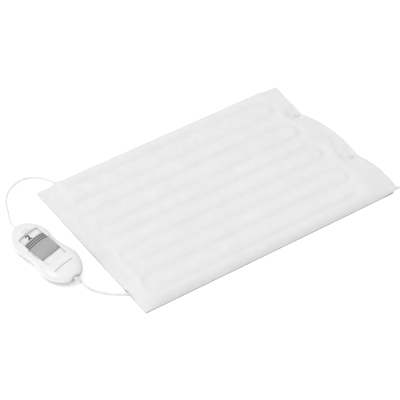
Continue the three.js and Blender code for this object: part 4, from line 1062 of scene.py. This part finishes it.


# the lower shell's greyer finish is painted shade
for make, look, node in ((makeUpperShell, "whiteShell", "housing_top"),
                         (makeLowerShell, "lowerShellShaded", "housing_bottom")):
    shell = make()
    for side in (-1, 1):  # room for the strain reliefs
        bore = post("bore", *screws["endBore"])
        bore.data.transform(turned(-90 * side, "X"))
        carved(shell, bore)
    edited(shell, "remove_doubles", threshold=0.01 * mm)
    softened(shell, 0.3, 2, 42)
    dress(atOrigin(smoothed(shell, 38), controlPose), look, "pad", "white_plastic", node)
print("hand control's shells made")

# The slide knob: a crowned block with three finger grooves at its far end
knob = {
    "middle": 2, "length": 41, "width": 30, "base": 9.3, "sideTop": 11.9, "middleTop": 13.9, "corner": 2,
    "grooves": 3, "pitch": 3.9, "grooveWidth": 1.9, "grooveDeep": 2.4, "first": 3.4, "nearShort": 1.2,
    "ramp": 6, "rampLow": 0.15, "stemWidth": 8, "stemLength": 6, "stemLow": 7.2, "blank": 12,
}


def knobTop(x):  # the top is crowned from side to side
    return knob["middleTop"] - (knob["middleTop"] - knob["sideTop"]) * (x / knob["width"] * 2) ** 2


def makeKnob():
    half, middle, base = knob["width"] / 2, knob["middle"], knob["base"]
    near, far = middle - knob["length"] / 2 + knob["nearShort"], middle + knob["length"] / 2
    piece = block("switchKnob", (-half, near, base), (half, far, knob["blank"]))
    edited(piece, "subdivide", number_cuts=15)
    for vertex in piece.data.vertices:  # the near end runs out to the floor
        rise = (vertex.co.z / mm - base) / (knob["blank"] - base)
        ramp = knob["rampLow"] + (1 - knob["rampLow"]) * ease((vertex.co.y / mm - near) / knob["ramp"])
        vertex.co.z = (base + rise * (knobTop(vertex.co.x / mm) - base) * ramp) * mm
    plan = roundedBlock("knobPlan", knob["width"], knob["length"], knob["corner"], 5, 20, (0, middle), 6)
    carved(piece, plan, "INTERSECT")
    grooves = [far - knob["first"] - k * knob["pitch"] for k in range(knob["grooves"])]
    low, reach = knob["sideTop"] - knob["grooveDeep"], knob["grooveWidth"] / 2
    for y in grooves:
        carved(piece, block("groove", (-half - 2, y - reach, low), (half + 2, y + reach, 20)))
    edited(piece, "dissolve_limited", angle_limit=math.radians(0.5))
    softened(piece, 0.3, 2, 50)
    x, y = knob["stemWidth"] / 2, knob["stemLength"] / 2
    carved(piece, block("stem", (-x, middle - y, knob["stemLow"]), (x, middle + y, base + 0.3)), "UNION")
    # painted shade for the finger grooves, kept as a point attribute
    paintedGrooveShade = piece.data.attributes.new("paintedGrooveShade", "FLOAT", "POINT")
    for vertex in piece.data.vertices:  # painted shade: darker in the grooves only, the deeper the darker
        x, y, z = vertex.co / mm
        grooved = min(abs(y - groove) for groove in grooves) < reach + 0.1
        paintedGrooveShade.data[vertex.index].value = share((knobTop(x) - 0.3 - z) / 0.8) if grooved else 0
    return atOrigin(smoothed(piece, 30), controlPose)


dress(makeKnob(), "greyKnob", "slide", "grey_plastic", "slide_knob")
print("slide knob made")

# Printed marks: a plain numeral on the recess floor and plain lines on the shell
marks = {
    "numeral": "2", "numeralSize": 12.8, "numeralPlace": (-2, 28), "thick": 0.06, "bolder": 0.42,
    "nearY": -46.8, "nearFrom": -15, "nearTo": 14, "nearWidth": 1.5,
    "farLines": [(39.6, 1.1, -4, 6), (44.4, 1.4, -5, 6)], "farWidth": 1,  # y, bow, start and end
}


def makeNumeral():
    putDown()
    bpy.ops.object.text_add(location=(0, 0, 0))
    text = newest("recessNumeral")
    text.data.body = marks["numeral"]
    text.data.size = marks["numeralSize"] * mm
    text.data.extrude = marks["thick"] / 2 * mm
    text.data.offset = marks["bolder"] * mm
    text.data.align_x, text.data.align_y = "CENTER", "BOTTOM_BASELINE"
    takeUp(text)
    bpy.ops.object.convert(target="MESH")
    place = shifted(*marks["numeralPlace"], recess["floor"] + 0.05)
    return atOrigin(bpy.context.active_object, controlPose @ place)


def shellLine(name, points, width):  # a printed line on the upper shell through points (x, y)
    plan = []
    for k, (x, y) in enumerate(points):
        ahead, behind = Vector(points[min(k + 1, len(points) - 1)]), Vector(points[max(k - 1, 0)])
        along = (ahead - behind).normalized()
        across = Vector((-along.y, along.x)) * width / 2
        plan.append([(x + across.x * t, y + across.y * t) for t in (-1, 0, 1)])
    piece = gridPiece(name, plan, lambda x, y: shellTop(x, y) + 0.04)
    applied(piece, "SOLIDIFY", thickness=marks["thick"] * mm, offset=0)
    return dress(atOrigin(piece, controlPose), "paleInk", "pad", "grey_plastic")


dress(makeNumeral(), "ink", "pad", "dark_plastic")
points = [(x, marks["nearY"]) for x in spread(marks["nearFrom"], marks["nearTo"], 24)]
shellLine("nearLine", points, marks["nearWidth"])
for number, (y, bow, start, end) in enumerate(marks["farLines"], 1):
    points = [(x, y - bow * ((x - 1) / 6) ** 2) for x in spread(start, end, 16)]
    shellLine(f"farLine{number}", points, marks["farWidth"])
print("printed marks made")

# Strain reliefs, turned about the cord with grooves that let them bend
relief = {
    "neck": 2.9, "flange": 4.8, "flangeEnd": 61.5, "flangeStart": 59.5, "start": 50.0, "outside": 67.415,
    "pad": {"jacket": 1.6, "exit": 2.6, "tip": 1.9, "reach": 4, "grooves": 1},
    "mains": {"jacket": 2, "exit": 3.0, "tip": 2.3, "reach": 14, "grooves": 4},
}


def groove(radius, y, deep, before, flat, after, fall):  # a profile's points for one groove
    return [(radius, y - before), (radius - deep, y), (radius - deep, y + flat), (radius - fall, y + after)]


def makeRelief(name, kind, side):
    shape, flange, neck, outside = relief[kind], relief["flange"], relief["neck"], relief["outside"]
    low, high, start, jacket = relief["flangeStart"], relief["flangeEnd"], relief["start"], shape["jacket"]
    profile = [(0, start), (jacket, start), (jacket, low), (flange, low), (flange, high), (neck, high),
               (neck, outside), (shape["exit"], outside + 0.3)]
    step = (shape["reach"] - 0.6) / (shape["grooves"] + 0.5)
    for k in range(shape["grooves"]):
        y = outside + 0.3 + step * (k + 0.55)
        radius = shape["exit"] + (shape["tip"] - shape["exit"]) * (y - outside) / shape["reach"]
        profile += groove(radius, y, 0.45, step * 0.16, step * 0.2, step * 0.36, 0.05)
    end = outside + shape["reach"]
    profile += [(shape["tip"], end - 0.2), (shape["tip"] - 0.15, end), (0, end)]
    return spunAlong(name, profile, side, controlPose)


dress(makeRelief("padCordRelief", "pad", 1), "boot", "pad", "cord_jacket", "relief_pad_cord")
dress(makeRelief("mainsRelief", "mains", -1), "boot", "pad", "cord_jacket", "relief_mains")
print("strain reliefs made")

# Screws in the underside, with a crossed recess
screwShape = [(0, -8.2), (2.1, -8.2), (2.45, -8.05), (2.6, -7.7), (2.6, -6), (1.2, -6), (1.2, 5.4),
              (0.6, 6), (0, 6)]
for number, place in enumerate(screws["places"], 1):
    piece = spunPiece(f"screw{number}", screwShape, 32)
    for x, y in ((0.35, 1.5), (1.5, 0.35)):
        carved(piece, block("cross", (-x, -y, -9), (x, y, -7.2)))
    atOrigin(smoothed(piece, 40), controlPose @ shifted(*place))
    dress(piece, "steel", "pad", "steel", f"screw_{number}")

# The plug: a wide nose with the pins, drawn in to the cord, with grip ribs on its sides
plug = {
    "place": (294, -221, 6.85), "width": 35.3, "thick": 13.7, "length": 35, "shoulder": 14,
    "waist": (0.78, 0.92), "rearWidth": 14, "rearThick": 10, "corner": 4.2, "pinSpacing": 18.6,
    "pinRoot": 0.3,
    "pin": [(0, -0.5), (2, -0.5), (2, 9.5), (1.88, 9.7), (1.88, 17.6), (1.5, 18.6), (0.9, 19), (0, 19)],
    "ribs": 5, "ribPitch": 3.1, "firstRib": 5.5, "bootWide": 4, "bootTip": 2.6, "bootReach": 25,
    "bootGrooves": 6,
}
plugPose = shifted(*plug["place"])


def makePlugBody():
    half, tall, (wide, thick) = plug["width"] / 2, plug["thick"] / 2, plug["waist"]
    piece = block("plugBody", (-half, -plug["length"], -tall), (half, -plug["shoulder"], tall))
    pick(piece, "FACE", lambda c, n: n.y > 0.9)
    rear = (plug["rearWidth"] / plug["width"] / wide, plug["rearThick"] / plug["thick"] / thick)
    step = {"value": (0, (plug["shoulder"] - 0.3) / 2 * mm, 0)}
    for acrossShare, upShare in (plug["waist"], rear):
        bpy.ops.mesh.extrude_region_move(TRANSFORM_OT_translate=step)
        bpy.ops.transform.resize(value=(acrossShare, 1, upShare))
    rounded(piece, plug["corner"], 6, lambda a, b: abs(a.y - b.y) > 3)
    softened(piece, 0.9, 4, 50)
    for side in (-1, 1):
        for k in range(plug["ribs"]):
            y = -plug["length"] + plug["firstRib"] + k * plug["ribPitch"]
            cutter = roundedBlock("ribCut", 1.2, 9, 0.5, y - 0.45, y + 0.45, segments=3)
            cutter.data.transform(shifted(side * half, 0) @ turned(-90, "X"))
            carved(piece, cutter)
    return atOrigin(smoothed(piece, 40), plugPose)


def makePlugBoot():
    wide, tip, reach = plug["bootWide"], plug["bootTip"], plug["bootReach"]
    profile = [(0, 0), (wide, 0)]
    for k in range(plug["bootGrooves"]):
        y = reach / (plug["bootGrooves"] + 1) * (k + 0.8)
        profile += groove(wide + (tip - wide) * y / reach, y, 0.8, 0.5, 0.7, 1.2, 0.1)
    profile += [(tip, reach - 0.3), (tip - 0.2, reach), (0, reach)]
    return spunAlong("plugBoot", profile, 1, plugPose)


plugBody = dress(makePlugBody(), "plugPvc", "pad", "white_plastic", "plug_body")
plugBoot = dress(makePlugBoot(), "boot", "pad", "cord_jacket", "plug_relief")
for number, side in ((1, -1), (2, 1)):
    pinPose = plugPose @ shifted(side * plug["pinSpacing"] / 2, -plug["length"] - plug["pinRoot"])
    pin = spunAlong(f"plugPin{number}", plug["pin"], -1, pinPose, 32, 35)
    dress(pin, "pinMetal", "pad", "brass", f"plug_pin_{number}")
print("plug made")

# The coil's tie: a dark strap round all the turns
tie = {"angle": 205, "width": 8, "thick": 1, "inside": 13.88, "outside": 33.82, "height": 9.05, "corner": 2}


def makeTie():
    wide, high, thick = tie["outside"] - tie["inside"], tie["height"], tie["thick"]
    strap = roundedBlock("coilTie", wide + 2 * thick, high + 2 * thick, tie["corner"] + thick,
                         -tie["width"] / 2, tie["width"] / 2)
    carved(strap, roundedBlock("tieRoom", wide, high, tie["corner"], -10, 10))
    softened(strap, 0.25, 2, 50)
    fromMiddle = shifted((tie["inside"] + tie["outside"]) / 2, 0, coil["low"] + coil["pitch"] / 2)
    pose = shifted(*coil["middle"]) @ turned(tie["angle"], "Z") @ fromMiddle @ turned(90, "X")
    return atOrigin(smoothed(strap, 40), pose)


coilTie = dress(makeTie(), "strap", "pad", "dark_plastic", "coil_tie")
print("coil's tie made")

# Pieces inside keep their CAD shape and get their own finish
inside = {
    "silicone": ["heating_wire", "lead_pad_a", "lead_pad_b", "lead_mains_a", "lead_mains_b"],
    "dark": ["pad_terminal", "wire_end_splice", "diode"],
    "cement": ["safety_resistor"],
    "whiteShell": ["slide_shutter"],
    "brass": ["contact_wiper", "contact_1", "contact_2", "contact_3"],
    "steel": ["fuse_cap_1", "fuse_cap_2"],
    "glass": ["fuse_tube"],
    "board": ["circuit_board"],
}
for look, nodes in inside.items():
    for node in nodes:
        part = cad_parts[node]
        part.data.materials.clear()
        part.data.materials.append(finish[look])
print("inner pieces dressed")

# The studio: a pale lit table, a sky bright overhead and dim at the horizon, and one soft lamp
studio = {
    "skyLow": 0.52, "skyHigh": 1.39, "floor": "#fdfdfd", "floorShade": "#fbfbfb", "floorGlow": 0.2,
    "floorSize": 12,
    "lampPlace": (-2.5, 0.6, 1.9), "lampSize": 1.8, "lampPower": 20,  # metres and watts
}


def makeStudio():
    putDown()
    bpy.ops.mesh.primitive_plane_add(size=studio["floorSize"], location=(0, 0, -0.0002))
    floor = atOrigin(newest("floor"))
    white = colour("#ffffff")
    material, tree, shader, place = startMaterial("lit_opal_table", Roughness=1, Specular_IOR_Level=0,
                                                  Emission_Color=white, Emission_Strength=studio["floorGlow"])
    tinted(tree, shader, noised(tree, place, 400, 2), studio["floorShade"], studio["floor"])
    floor.data.materials.append(material)
    world = bpy.data.worlds.new("sky")
    world.use_nodes = True
    sky = world.node_tree
    outward = add(sky, "ShaderNodeTexCoord").outputs["Generated"]
    direction = add(sky, "ShaderNodeSeparateXYZ", {"Vector": outward})
    bright = add(sky, "ShaderNodeMapRange", {"Value": direction.outputs["Z"]},
                 To_Min=studio["skyLow"], To_Max=studio["skyHigh"])
    sky.nodes["Background"].inputs["Color"].default_value = white
    sky.links.new(bright.outputs["Result"], sky.nodes["Background"].inputs["Strength"])
    scene = bpy.context.scene
    scene.world = world
    scene.view_settings.view_transform = "Standard"
    lamp = bpy.data.lights.new("windowLamp", "AREA")
    lamp.shape, lamp.size, lamp.energy = "DISK", studio["lampSize"], studio["lampPower"]
    holder = linked("windowLamp", lamp)
    holder.location = studio["lampPlace"]
    holder.rotation_euler = (-holder.location).to_track_quat("-Z", "Y").to_euler()


makeStudio()
putDown()
